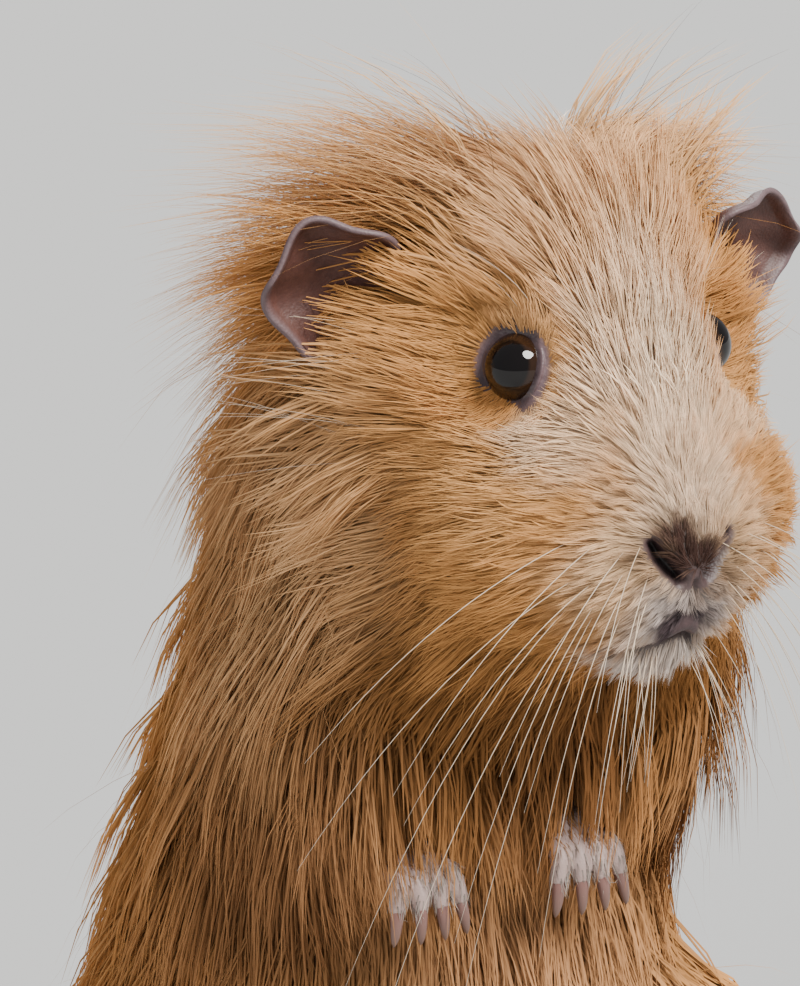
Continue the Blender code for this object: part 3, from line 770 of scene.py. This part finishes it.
def ripple(points, size, seed):
    """A smooth value from about -1 to 1 that wanders over the body."""
    rng = np.random.default_rng(seed)
    total = np.zeros(len(points))
    for _ in range(5):
        turn = unit(rng.normal(size=3)) * rng.uniform(0.7, 1.6) / size
        total += np.sin(points @ turn * 2 * math.pi + rng.uniform(0, 6.3))
    return total / 2.6


def add_node(tree, kind, **settings):
    node = tree.nodes.new(kind)
    for name, value in settings.items():
        setattr(node, name, value)
    return node


def tuft_tree():
    """Turns each point into a tapered tuft that follows its own rise and bend."""
    tree = bpy.data.node_groups.new("tufts", "GeometryNodeTree")
    face = tree.interface
    face.new_socket("Roots", in_out="INPUT", socket_type="NodeSocketGeometry")
    joints = face.new_socket("Joints", in_out="INPUT", socket_type="NodeSocketInt")
    joints.default_value = 2
    patch = face.new_socket("Patch", in_out="INPUT", socket_type="NodeSocketFloat")
    patch.default_value = TUFT_PATCH
    face.new_socket("Finish", in_out="INPUT", socket_type="NodeSocketMaterial")
    face.new_socket("Tufts", in_out="OUTPUT", socket_type="NodeSocketGeometry")
    link = tree.links.new
    source = add_node(tree, "NodeGroupInput").outputs

    # A three-sided cone of unit height, set at every root.
    cone = add_node(tree, "GeometryNodeMeshCone", fill_type="NGON")
    cone.inputs["Vertices"].default_value = 3
    cone.inputs["Radius Top"].default_value = 0
    cone.inputs["Radius Bottom"].default_value = 1
    cone.inputs["Depth"].default_value = 1
    link(source["Joints"], cone.inputs["Side Segments"])
    place = add_node(tree, "GeometryNodeInputPosition")
    keep = add_node(tree, "GeometryNodeStoreNamedAttribute", data_type="FLOAT_VECTOR", domain="POINT")
    keep.inputs["Name"].default_value = "shape"
    link(cone.outputs["Mesh"], keep.inputs["Geometry"])
    link(place.outputs[0], keep.inputs["Value"])
    spread = add_node(tree, "GeometryNodeInstanceOnPoints")
    link(source["Roots"], spread.inputs["Points"])
    link(keep.outputs[0], spread.inputs["Instance"])
    real = add_node(tree, "GeometryNodeRealizeInstances")
    link(spread.outputs[0], real.inputs[0])

    def stored(name, data_type="FLOAT_VECTOR"):
        node = add_node(tree, "GeometryNodeInputNamedAttribute", data_type=data_type)
        node.inputs["Name"].default_value = name
        return node.outputs[0]

    def math_node(operation, *values):
        node = add_node(tree, "ShaderNodeMath", operation=operation)
        for number, value in enumerate(values):
            if isinstance(value, (int, float)):
                node.inputs[number].default_value = value
            else:
                link(value, node.inputs[number])
        return node.outputs[0]

    def scaled(vector, amount):
        node = add_node(tree, "ShaderNodeVectorMath", operation="SCALE")
        link(vector, node.inputs[0])
        link(amount, node.inputs["Scale"])
        return node.outputs[0]

    def summed(first, second, operation="ADD"):
        node = add_node(tree, "ShaderNodeVectorMath", operation=operation)
        link(first, node.inputs[0])
        link(second, node.inputs[1])
        return node.outputs[0]

    # Each point goes up the rise and, more and more, along the bend. The tuft swells a
    # little above its root, and is wide along its side and thin along its depth.
    parts = add_node(tree, "ShaderNodeSeparateXYZ")
    link(stored("shape"), parts.inputs[0])
    along = parts.outputs[2]
    fullness = math_node("MULTIPLY_ADD", along, 1.2, 1.0)
    bent = scaled(stored("bend"), math_node("MULTIPLY", along, along))
    path = summed(scaled(stored("rise"), along), bent)
    breadth = scaled(stored("side"), math_node("MULTIPLY", parts.outputs[0], fullness))
    depth = scaled(stored("deep"), math_node("MULTIPLY", parts.outputs[1], fullness))
    offset = summed(summed(path, summed(breadth, depth)), stored("shape"), "SUBTRACT")
    move = add_node(tree, "GeometryNodeSetPosition")
    link(real.outputs[0], move.inputs["Geometry"])
    link(offset, move.inputs["Offset"])

    # Its patch of the pelt's layout, and how far along the tuft each point is.
    corner = add_node(tree, "ShaderNodeCombineXYZ")
    link(math_node("MULTIPLY_ADD", parts.outputs[0], 0.5, 0.5), corner.inputs[0])
    link(along, corner.inputs[1])
    unwrap = add_node(tree, "GeometryNodeStoreNamedAttribute", data_type="FLOAT2", domain="CORNER")
    unwrap.inputs["Name"].default_value = "OFBake"
    link(move.outputs[0], unwrap.inputs["Geometry"])
    link(summed(stored("spot"), scaled(corner.outputs[0], source["Patch"])), unwrap.inputs["Value"])
    length = add_node(tree, "GeometryNodeStoreNamedAttribute", data_type="FLOAT", domain="POINT")
    length.inputs["Name"].default_value = "along"
    link(unwrap.outputs[0], length.inputs["Geometry"])
    link(along, length.inputs["Value"])
    last = length.outputs[0]
    for name in ("shape", "rise", "bend", "side", "deep", "spot"):
        drop = add_node(tree, "GeometryNodeRemoveAttribute")
        drop.inputs["Name"].default_value = name
        link(last, drop.inputs[0])
        last = drop.outputs[0]
    paint = add_node(tree, "GeometryNodeSetMaterial")
    link(last, paint.inputs["Geometry"])
    link(source["Finish"], paint.inputs["Material"])
    link(paint.outputs[0], add_node(tree, "NodeGroupOutput").inputs["Tufts"])
    return tree


TUFTS = tuft_tree()


def set_input(modifier, name, value):
    for item in modifier.node_group.interface.items_tree:
        if item.name == name and item.in_out == "INPUT":
            modifier[item.identifier] = value


def grow(name, roots, finish, joints):
    """Makes one coat piece from root arrays with the tuft tree."""
    seeds = bpy.data.meshes.new(name + "_roots")
    seeds.from_pydata(roots["root"].tolist(), [], [])
    for key in ("rise", "bend", "side", "deep", "spot", "shade"):
        layer = seeds.attributes.new(key, "FLOAT_VECTOR", "POINT")
        layer.data.foreach_set("vector", roots[key].astype(np.float32).ravel())
    piece = add_piece(name, seeds)
    modifier = piece.modifiers.new("tufts", "NODES")
    modifier.node_group = TUFTS
    set_input(modifier, "Joints", joints)
    set_input(modifier, "Finish", finish)
    mesh = evaluated_copy(piece)
    piece.modifiers.clear()
    piece.data = mesh
    mesh.name = name
    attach(piece, "root")
    return piece


def comb(ground, count, chance, rng, width, lock=(12, 0.6), untidy=8, stretch=1.0, habit=None):
    """Root arrays for so many tufts, combed by the growth places.

    lock is how many tufts share a lock and how far their tips draw together; untidy is the
    wandering of the lie in degrees; habit overrides the growth: lie, length and lift."""
    roots, normals, spots = ground.sow(count, chance, rng)
    # Each lock has a leader, and the tufts nearest to it take its sway, puff and tone.
    share, pull = lock
    leaders = np.flatnonzero(rng.random(count) < 1 / share)
    tree = KDTree(len(leaders))
    for slot, leader in enumerate(leaders):
        tree.insert(roots[leader], slot)
    tree.balance()
    own = np.array([tree.find(root)[1] for root in roots])
    sway, puff, tone = rng.normal(size=(3, len(leaders)))

    # The lie is laid flat on the hide, then turned to and fro a little.
    lies, amounts = growth(roots) if habit is None else habit(roots)
    lies = unit(lies - normals * (lies * normals).sum(1, keepdims=True))
    turn = np.radians(untidy) * (
        rng.normal(size=count) * 0.6 + sway[own] * 0.7
        + ripple(roots, 9 * MM, 5) * 0.9 + ripple(roots, 22 * MM, 6) * 0.9
    )
    lies = lies * np.cos(turn)[:, None] + np.cross(normals, lies) * np.sin(turn)[:, None]

    # A tuft leaves the hide at its lift and settles back along it. A long one droops, but
    # not where it springs up, as in the crest.
    length = amounts[:, 0] * stretch * rng.uniform(0.72, 1.12, count) * (1 + 0.10 * puff[own])
    lift = amounts[:, 1] * rng.uniform(0.8, 1.2, count) * np.clip(1 + 0.28 * puff[own], 0.5, 1.8)
    ahead = lies * np.cos(lift)[:, None] + normals * np.sin(lift)[:, None]
    droop = smooth_step(length, 8 * MM, 30 * MM)[:, None]
    spring = np.clip(np.sin(lift) - 0.45, 0, 1)[:, None]
    stray = rng.normal(size=(count, 3)) * 0.06
    end = unit(lies + normals * (1.25 * spring - 0.1) - UP * (0.2 - 0.4 * spring) * droop + stray)
    tips = roots + length[:, None] * (ahead + end) / 2

    # Its tip is drawn towards the leader's, but no tip goes into the floor.
    led = leaders[own]
    towards = roots[led] + (tips[led] - roots[led]) * (length / length[led])[:, None]
    gap = np.linalg.norm(towards - tips, axis=1)
    draw = pull * rng.uniform(0.4, 1.1, count) * np.clip(length * 0.5 / np.maximum(gap, 1e-6), 0, 1)
    tips = tips + (towards - tips) * draw[:, None]
    tips[:, 2] = np.maximum(tips[:, 2], 0.4 * MM)

    rise = ahead * length[:, None]
    side = unit(np.cross(ahead, normals))
    thick = width * MM * rng.uniform(0.6, 1.15, count)[:, None] / 2
    tint = np.clip(rng.normal(0, 0.4, count) + tone[own] * 0.35, -1, 1)
    return {
        "root": roots,
        "rise": rise,
        "bend": tips - roots - rise,
        "side": side * thick,
        "deep": np.cross(side, ahead) * thick * 0.6,
        "shade": markings_and_shade(roots) * (1 + 0.2 * tint)[:, None],
        "spot": np.concatenate((spots, np.zeros((count, 1))), 1),
    }


# The coat's colours: a golden ground, and over it patches, each with its middle in millimetres
# from between the eyes (side, forward and up), its reach, the softness of its edge and its
# colour. A later patch lies over an earlier one. The chest, throat, under-jaw and shoulder
# patches are darker partly as the coat's own tone and partly as painted shade, low under
# the head where the coat lies in shade.
GOLD = (0.55, 0.26, 0.085)
PATCHES = {
    "neck": ((36, -24, -26), (20, 22, 30), 0.5, (0.60, 0.34, 0.16)),
    # The chest, throat, under-jaw and shoulder patches: partly the coat's own darker tone, partly painted
    # shade under the head.
    "chest": ((0, -2, -84), (42, 34, 30), 0.4, (0.40, 0.20, 0.09)),
    "throat": ((0, 2, -53), (26, 24, 13), 0.5, (0.22, 0.095, 0.035)),
    "under_jaw": ((25, -6, -46), (19, 20, 12), 0.6, (0.27, 0.12, 0.040)),
    "shoulder": ((42, -24, -68), (22, 26, 26), 0.5, (0.30, 0.145, 0.062)),
    "belly": ((0, 4, -118), (22, 18, 24), 0.5, (0.55, 0.36, 0.21)),
    "crest": ((12, -18, 30), (26, 20, 14), 0.4, (0.69, 0.40, 0.185)),
    "forehead": ((0, -3, 14), (14, 14, 16), 0.5, (0.66, 0.38, 0.19)),
    "cheek": ((17, 6, -14), (9, 10, 9), 0.6, (0.57, 0.29, 0.107)),
    "blaze": ((0, 12, -6), (8.5, 14, 17), 0.65, (0.82, 0.61, 0.42)),
    "muzzle": ((0, 20, -25), (15, 13, 12), 0.4, (0.68, 0.44, 0.25)),
    "under_eye": ((13, 9, -8), (7, 7, 5), 0.5, (0.72, 0.48, 0.29)),
    "dorsum": ((0, 22, -16), (6, 8, 6), 0.6, (0.74, 0.53, 0.36)),
    "lips": ((0, 21, -31), (8, 9, 5), 0.6, (0.52, 0.43, 0.38)),
    "nose": ((0, 24, -23), (7, 6, 4.5), 0.6, (0.075, 0.042, 0.034)),
    "cleft": ((0, 22, -32.4), (3.4, 6, 3.2), 0.4, (0.075, 0.055, 0.058)),
    "chin": ((0, 17, -38), (11, 8, 3), 0.4, (0.60, 0.50, 0.43)),
    "parting": ((0, -17, 26), (2.2, 6, 6), 0.5, (0.80, 0.70, 0.60)),
    "forepaw": ((14, -11, -78), (19, 7, 8), 0.25, (0.37, 0.31, 0.27)),
    "hind_foot": ((32, -14, -154), (14, 32, 7), 0.3, (0.52, 0.42, 0.34)),
}


def markings_and_shade(points):
    """The coat's colour at each place, with painted shade low on the chest, throat and shoulders, for hide
    and coat alike; edges wander, sides match.
    """
    wander = np.stack([
        ripple(points, 11 * MM, 30 + axis) * 1.5 + ripple(points, 4 * MM, 40 + axis) * 0.7
        for axis in range(3)
    ], 1)
    place = (points - np.array(BETWEEN_EYES)) / MM + wander
    place = np.stack((np.abs(place[:, 0]), -place[:, 1], place[:, 2]), 1)
    colours = np.tile(GOLD, (len(points), 1))
    for centre, reach, soft, shade in PATCHES.values():
        away = np.linalg.norm((place - centre) / reach, axis=1)
        share = 1 - smooth_step(away, 1 - soft, 1 + soft)
        colours += (np.array(shade) - colours) * share[:, None]
    return colours


def coat_finish():
    """Hair: its own shade, paler towards the tip and deeper at the root, partly as the hair's own tone and
    partly as painted shade deep in the coat.
    """
    finish = bpy.data.materials.new("coat")
    finish.use_nodes = True
    tree = finish.node_tree
    link = tree.links.new
    shader = tree.nodes["Principled BSDF"]
    shader.inputs["Roughness"].default_value = 0.5
    shader.inputs["Specular IOR Level"].default_value = 0
    shade = add_node(tree, "ShaderNodeAttribute", attribute_name="shade")
    along = add_node(tree, "ShaderNodeAttribute", attribute_name="along")
    # The root end is darkened: partly the hair's own tone, partly painted shade deep in the coat.
    ramp = add_node(tree, "ShaderNodeMapRange")
    link(along.outputs["Fac"], ramp.inputs["Value"])
    ramp.inputs["To Min"].default_value = 0.55
    ramp.inputs["To Max"].default_value = 1.15
    paler = add_node(tree, "ShaderNodeVectorMath", operation="SCALE")
    link(shade.outputs["Vector"], paler.inputs[0])
    link(ramp.outputs[0], paler.inputs["Scale"])
    link(paler.outputs[0], shader.inputs["Base Color"])
    return finish


coat_material = coat_finish()


def paint_hide():
    """Bare leather, lids, ears and paws; elsewhere the coat's own colour darkened, partly as the hair's
    dull root and partly as painted shade under the coat.
    """
    tree = skin_finish.node_tree
    link = tree.links.new
    shader = tree.nodes["Principled BSDF"]
    where = add_node(tree, "ShaderNodeTexCoord")
    roots = hide.attributes.new("shade", "FLOAT_VECTOR", "POINT")
    # Under the coat the hide is darkened, in part as painted shade beneath the tufts.
    root_shades = markings_and_shade(points_of(hide)) * UNDERCOAT_AND_SHADE
    roots.data.foreach_set("vector", root_shades.astype(np.float32).ravel())
    under = add_node(tree, "ShaderNodeAttribute", attribute_name="shade")
    colour = under.outputs["Vector"]
    speckle = add_node(tree, "ShaderNodeTexNoise")
    speckle.inputs["Scale"].default_value = 900
    speckle.inputs["Detail"].default_value = 2
    link(where.outputs["Object"], speckle.inputs["Vector"])
    for name, shades in BARE_SHADES.items():
        mask = add_node(tree, "ShaderNodeAttribute", attribute_name=name)
        mottle = add_node(tree, "ShaderNodeMix", data_type="RGBA")
        link(speckle.outputs["Fac"], mottle.inputs[0])
        mottle.inputs[6].default_value = (*shades[0], 1)
        mottle.inputs[7].default_value = (*shades[1], 1)
        mix = add_node(tree, "ShaderNodeMix", data_type="RGBA")
        link(mask.outputs["Fac"], mix.inputs[0])
        link(colour, mix.inputs[6])
        link(mottle.outputs[2], mix.inputs[7])
        colour = mix.outputs[2]
    link(colour, shader.inputs["Base Color"])
    wet = add_node(tree, "ShaderNodeAttribute", attribute_name="wet")
    dull = add_node(tree, "ShaderNodeMapRange")
    link(wet.outputs["Fac"], dull.inputs["Value"])
    dull.inputs["To Min"].default_value = 0.55
    dull.inputs["To Max"].default_value = 0.12
    link(dull.outputs[0], shader.inputs["Roughness"])
    grain = add_node(tree, "ShaderNodeTexVoronoi")
    grain.inputs["Scale"].default_value = 2600
    link(where.outputs["Object"], grain.inputs["Vector"])
    relief = add_node(tree, "ShaderNodeBump")
    relief.inputs["Strength"].default_value = 0.35
    relief.inputs["Distance"].default_value = 0.00012
    link(grain.outputs["Distance"], relief.inputs["Height"])
    link(relief.outputs[0], shader.inputs["Normal"])


paint_hide()

ground = Ground(hide)
middles = ground.middles
from_nose = np.linalg.norm(middles - np.array(NOSE_TIP), axis=1)
side_way = np.abs(middles[:, 0] - BETWEEN_EYES.x)
forward = BETWEEN_EYES.y - middles[:, 1]
height = middles[:, 2] - BETWEEN_EYES.z

# How thickly each kind of coat grows on each triangle of the hide, from 0 to 1 or more.
furred = ground.furred
near_eye = np.minimum(*(np.linalg.norm(middles - np.array(centre), axis=1) for centre in EYES.values()))
muzzle_share = 1 - smooth_step(from_nose, 18 * MM, 26 * MM)
face_share = (1 - smooth_step(from_nose, 42 * MM, 52 * MM)) * (1 - muzzle_share)
face_share *= smooth_step(height, -52 * MM, -40 * MM)
crown_share = smooth_step(height + forward * -0.5, 17 * MM, 25 * MM)
crown_share *= (1 - face_share) * (1 - muzzle_share)
low_share = 1 - smooth_step(height, -100 * MM, -84 * MM)
upper_share = (1 - low_share) * (1 - face_share) * (1 - muzzle_share) * (1 - crown_share)
front_share = smooth_step(forward, -52 * MM, -36 * MM)
crown_share = crown_share * (1 + 0.7 * (1 - smooth_step(side_way, 3 * MM, 8 * MM)))
face_share = face_share * (1 + 2.2 * (1 - smooth_step(near_eye, 7 * MM, 12 * MM)))
stray_share = crown_share * 2 + upper_share + 0.6 * face_share + 0.4 * low_share
stray_share *= smooth_step(near_eye, 8 * MM, 16 * MM)

# Each piece of the coat: its share of each place, its number of tufts, their joints and
# width in millimetres, how many share a lock and how far their tips draw together, and how
# much longer they are than the growth places say.
COATS = (
    ("coat_muzzle", muzzle_share, 25500, 1, 0.182, (18, 0.7), 1.0),
    ("coat_face_a", face_share, 11600, 2, 0.245, (16, 0.6), 1.0),
    ("coat_face_b", face_share, 11200, 2, 0.19, (10, 0.45), 1.15),
    ("coat_crown_a", crown_share, 5800, 3, 0.295, (16, 0.6), 1.0),
    ("coat_crown_b", crown_share, 6500, 3, 0.205, (9, 0.4), 1.12),
    ("coat_neck_a", upper_share * front_share, 7300, 3, 0.52, (16, 0.65), 1.0),
    ("coat_neck_b", upper_share * front_share, 7900, 3, 0.355, (12, 0.5), 1.1),
    ("coat_back", upper_share * (1 - front_share), 9000, 3, 0.7, (12, 0.65), 1.0),
    ("coat_low", low_share, 12500, 2, 0.85, (12, 0.6), 1.0),
    ("coat_strays", stray_share, 3000, 4, 0.09, (2, 0.1), 1.2),
)
for number, (name, chance, count, joints, width, lock, stretch) in enumerate(COATS):
    rng = np.random.default_rng(100 + number)
    untidy = 22 if name == "coat_strays" else 8
    roots = comb(ground, count, chance * furred, rng, width, lock, untidy, stretch)
    grow(name, roots, coat_material, joints)
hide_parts("crest_right", "crest_left")


def paw_habit(roots):
    """On a paw the hair is short and runs to the toes: down in front, forward behind."""
    lies = np.where((roots[:, 2] > 30 * MM)[:, None], (0.0, -0.35, -1.0), (0.0, -1.0, -0.05))
    return lies, np.tile((2.4 * MM, math.radians(20), 0.0), (len(roots), 1))


def bib_habit(roots):
    """The breast hair above a forepaw hangs out over the wrist."""
    lies = np.tile((0.0, -0.25, -1.0), (len(roots), 1))
    return lies, np.tile((20 * MM, math.radians(48), 0.0), (len(roots), 1))


bib_share = np.zeros(len(middles))
for palm in FORE_PALMS.values():
    place = np.array(palm) + np.array((0, 4, 15)) * MM
    from_wrist = np.linalg.norm((middles - place) * (0.8, 1, 1), axis=1)
    bib_share = np.maximum(bib_share, 1 - smooth_step(from_wrist, 4 * MM, 13 * MM))
paw_rng = np.random.default_rng(200)
paw_roots = comb(ground, 8000, ground.paw, paw_rng, 0.26, (8, 0.3), habit=paw_habit)
grow("coat_paws", paw_roots, coat_material, 1)
bib_roots = comb(ground, 2100, bib_share * furred, paw_rng, 0.38, (14, 0.55), habit=bib_habit)
grow("coat_bib", bib_roots, coat_material, 3)

# ---- Whiskers and claws ------------------------------------------------------------------
# Whiskers are stiff pale bristles set in the pads beside the nose. Claws are short curved
# horn cones, rosy where the quick shows. Both are tapered strands along a line.


def strand_tree():
    """Turns lines with a girth at each point into tapered round strands."""
    tree = bpy.data.node_groups.new("strands", "GeometryNodeTree")
    face = tree.interface
    face.new_socket("Lines", in_out="INPUT", socket_type="NodeSocketGeometry")
    face.new_socket("Sides", in_out="INPUT", socket_type="NodeSocketInt").default_value = 6
    face.new_socket("Finish", in_out="INPUT", socket_type="NodeSocketMaterial")
    face.new_socket("Strands", in_out="OUTPUT", socket_type="NodeSocketGeometry")
    link = tree.links.new
    source = add_node(tree, "NodeGroupInput").outputs
    line = add_node(tree, "GeometryNodeMeshToCurve")
    link(source["Lines"], line.inputs["Mesh"])
    girth = add_node(tree, "GeometryNodeInputNamedAttribute", data_type="FLOAT")
    girth.inputs["Name"].default_value = "girth"
    ring = add_node(tree, "GeometryNodeCurvePrimitiveCircle")
    ring.inputs["Radius"].default_value = 1
    link(source["Sides"], ring.inputs["Resolution"])
    tube = add_node(tree, "GeometryNodeCurveToMesh")
    tube.inputs["Fill Caps"].default_value = True
    link(line.outputs["Curve"], tube.inputs["Curve"])
    link(ring.outputs["Curve"], tube.inputs["Profile Curve"])
    link(girth.outputs["Attribute"], tube.inputs["Scale"])
    round_off = add_node(tree, "GeometryNodeSetShadeSmooth")
    link(tube.outputs["Mesh"], round_off.inputs["Geometry"])
    real = add_node(tree, "GeometryNodeRealizeInstances")
    link(round_off.outputs["Geometry"], real.inputs["Geometry"])
    paint = add_node(tree, "GeometryNodeSetMaterial")
    link(real.outputs["Geometry"], paint.inputs["Geometry"])
    link(source["Finish"], paint.inputs["Material"])
    link(paint.outputs["Geometry"], add_node(tree, "NodeGroupOutput").inputs["Strands"])
    return tree


STRANDS = strand_tree()


def draw_strands(name, lines, finish, sides):
    """lines are (points, girths) pairs in metres."""
    spots, pairs, girths, shares = [], [], [], []
    for points, girth in lines:
        first = len(spots)
        spots.extend(tuple(point) for point in points)
        girths.extend(girth)
        shares.extend(np.linspace(0, 1, len(points)))
        pairs.extend((first + step, first + step + 1) for step in range(len(points) - 1))
    seeds = bpy.data.meshes.new(name + "_lines")
    seeds.from_pydata(spots, pairs, [])
    for key, values in (("girth", girths), ("along", shares)):
        seeds.attributes.new(key, "FLOAT", "POINT").data.foreach_set("value", values)
    piece = add_piece(name, seeds)
    modifier = piece.modifiers.new("strands", "NODES")
    modifier.node_group = STRANDS
    set_input(modifier, "Sides", sides)
    set_input(modifier, "Finish", finish)
    mesh = evaluated_copy(piece)
    piece.modifiers.clear()
    piece.data = mesh
    mesh.name = name
    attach(piece, "root")
    return piece


def graded_finish(name, root, tip, roughness):
    """A horn or bristle that runs from one colour at its root to another at its tip."""
    finish = bpy.data.materials.new(name)
    finish.use_nodes = True
    tree = finish.node_tree
    shader = tree.nodes["Principled BSDF"]
    shader.inputs["Roughness"].default_value = roughness
    along = add_node(tree, "ShaderNodeAttribute", attribute_name="along")
    blend = add_node(tree, "ShaderNodeMix", data_type="RGBA")
    tree.links.new(along.outputs["Fac"], blend.inputs[0])
    blend.inputs[6].default_value = (*root, 1)
    blend.inputs[7].default_value = (*tip, 1)
    tree.links.new(blend.outputs[2], shader.inputs["Base Color"])
    return finish


hide_tree = BVHTree.FromPolygons(
    [Vector(point) for point in points_of(hide)], [tuple(corners) for corners in ground.corners])
whisker_rng = np.random.default_rng(41)


def bristle(root, heading, length, sag, girth, knots=14):
    """A bristle that leaves the hide at root and bends towards sag."""
    start = hide_tree.find_nearest(root)[0] - Vector(heading).normalized() * 0.8 * MM
    along = np.linspace(0, 1, knots)[:, None]
    path = np.array(start) + length * (along * unit(np.array(heading)) + along**2 * np.array(sag))
    path[:, 2] = np.maximum(path[:, 2], 0.5 * MM)
    return path, girth * (1 - 0.85 * along[:, 0] ** 1.3)


# Four rows of whiskers on each pad, then chin, brow and cheek bristles.
whiskers = []
for side in (-1, 1):
    for row in range(4):
        for column in range(4):
            vary = whisker_rng.uniform(-1, 1, 5)
            across_pad = side * (6.5 + 2.1 * column + vary[0])
            root = from_eyes(across_pad, 20 - 2.2 * column, -21.5 - 3.1 * row + vary[1])
            back = -0.5 + 0.2 * column + 0.1 * vary[2]
            heading = (side * (0.62 + 0.1 * column), back, -0.35 - 0.2 * row + 0.15 * vary[3])
            length = (25 + 8 * column + 5 * vary[4]) * MM
            sag = (side * -0.12, 0.10, -0.30 - 0.08 * row)
            whiskers.append(bristle(root, heading, length, sag, 0.07 * MM))
    for _ in range(9):
        vary = whisker_rng.uniform(-1, 1, 4)
        root = from_eyes(side * (2.5 + 5 * abs(vary[0])), 17, -36 - 3.5 * abs(vary[1]))
        heading = (side * 0.3 + 0.2 * vary[2], -0.5, -0.9)
        length = (13 + 7 * abs(vary[3])) * MM
        whiskers.append(bristle(root, heading, length, (0, 0.15, -0.2), 0.06 * MM, 9))
    for _ in range(3):
        vary = whisker_rng.uniform(-1, 1, 3)
        root = from_eyes(side * (12 + vary[0]), 1 + vary[1], 7.5)
        heading = (side * 0.5, 0.1 + 0.3 * vary[2], 1.2)
        whiskers.append(bristle(root, heading, 13 * MM, (side * 0.25, 0.4, -0.2), 0.035 * MM, 9))
    for _ in range(14):
        vary = whisker_rng.uniform(-1, 1, 5)
        root = from_eyes(side * (28 + 3 * vary[0]), -12 + 5 * vary[1], -4 + 10 * vary[2])
        heading = (side * (0.8 + 0.3 * vary[3]), 0.7, 0.15 + 0.4 * vary[4])
        whiskers.append(bristle(root, heading, 26 * MM, (side * 0.1, 0.2, -0.2), 0.035 * MM, 9))
whisker_finish = graded_finish("whisker", (0.55, 0.40, 0.26), (0.72, 0.62, 0.50), 0.4)
draw_strands("whiskers", whiskers, whisker_finish, 5)

# A few long dark hairs stand out of the crest.
guards = []
for number in range(16):
    vary = whisker_rng.uniform(-1, 1, 6)
    side = -1 if number % 2 else 1
    root = from_eyes(side * (9 + 7 * vary[0]), -16 + 7 * vary[1], 26)
    heading = (side * (0.35 + 0.4 * vary[2]), 0.25 * vary[3] - 0.1, 1)
    sag = (side * 0.4, 0.1 * vary[5], -0.2)
    guards.append(bristle(root, heading, (27 + 5 * vary[4]) * MM, sag, 0.05 * MM, 10))
guard_finish = graded_finish("guard_hair", (0.10, 0.055, 0.03), (0.05, 0.03, 0.02), 0.45)
draw_strands("guard_hairs", guards, guard_finish, 4)

# A claw hooks under as it narrows, and rounds off at its point.
claw_finish = graded_finish("horn", (0.20, 0.10, 0.085), (0.13, 0.075, 0.055), 0.28)
CLAW_REACH = {"forepaw": 5.4 * MM, "hind_foot": 6.6 * MM}
CLAW_GIRTH = 0.78
for foot_name in FEET:
    lines = []
    nodes = [node for node in claw_roots if foot_name in node]
    kind = foot_name.rsplit("_", 1)[0]
    for node in nodes:
        tip, heading, radius = claw_roots[node]
        hook = Vector((0, 1.1, -0.2)) if kind == "forepaw" else Vector((0, 0, -1.0))
        along = np.linspace(0, 1, 12)
        path = [tip + heading * CLAW_REACH[kind] * share + hook * MM * share**2 for share in along]
        girth = radius * CLAW_GIRTH * np.sqrt(np.clip(1 - along**1.8, 0.004, 1))
        lines.append((path, girth))
    claws = draw_strands("claws_" + foot_name, lines, claw_finish, 10)
    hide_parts(*nodes)
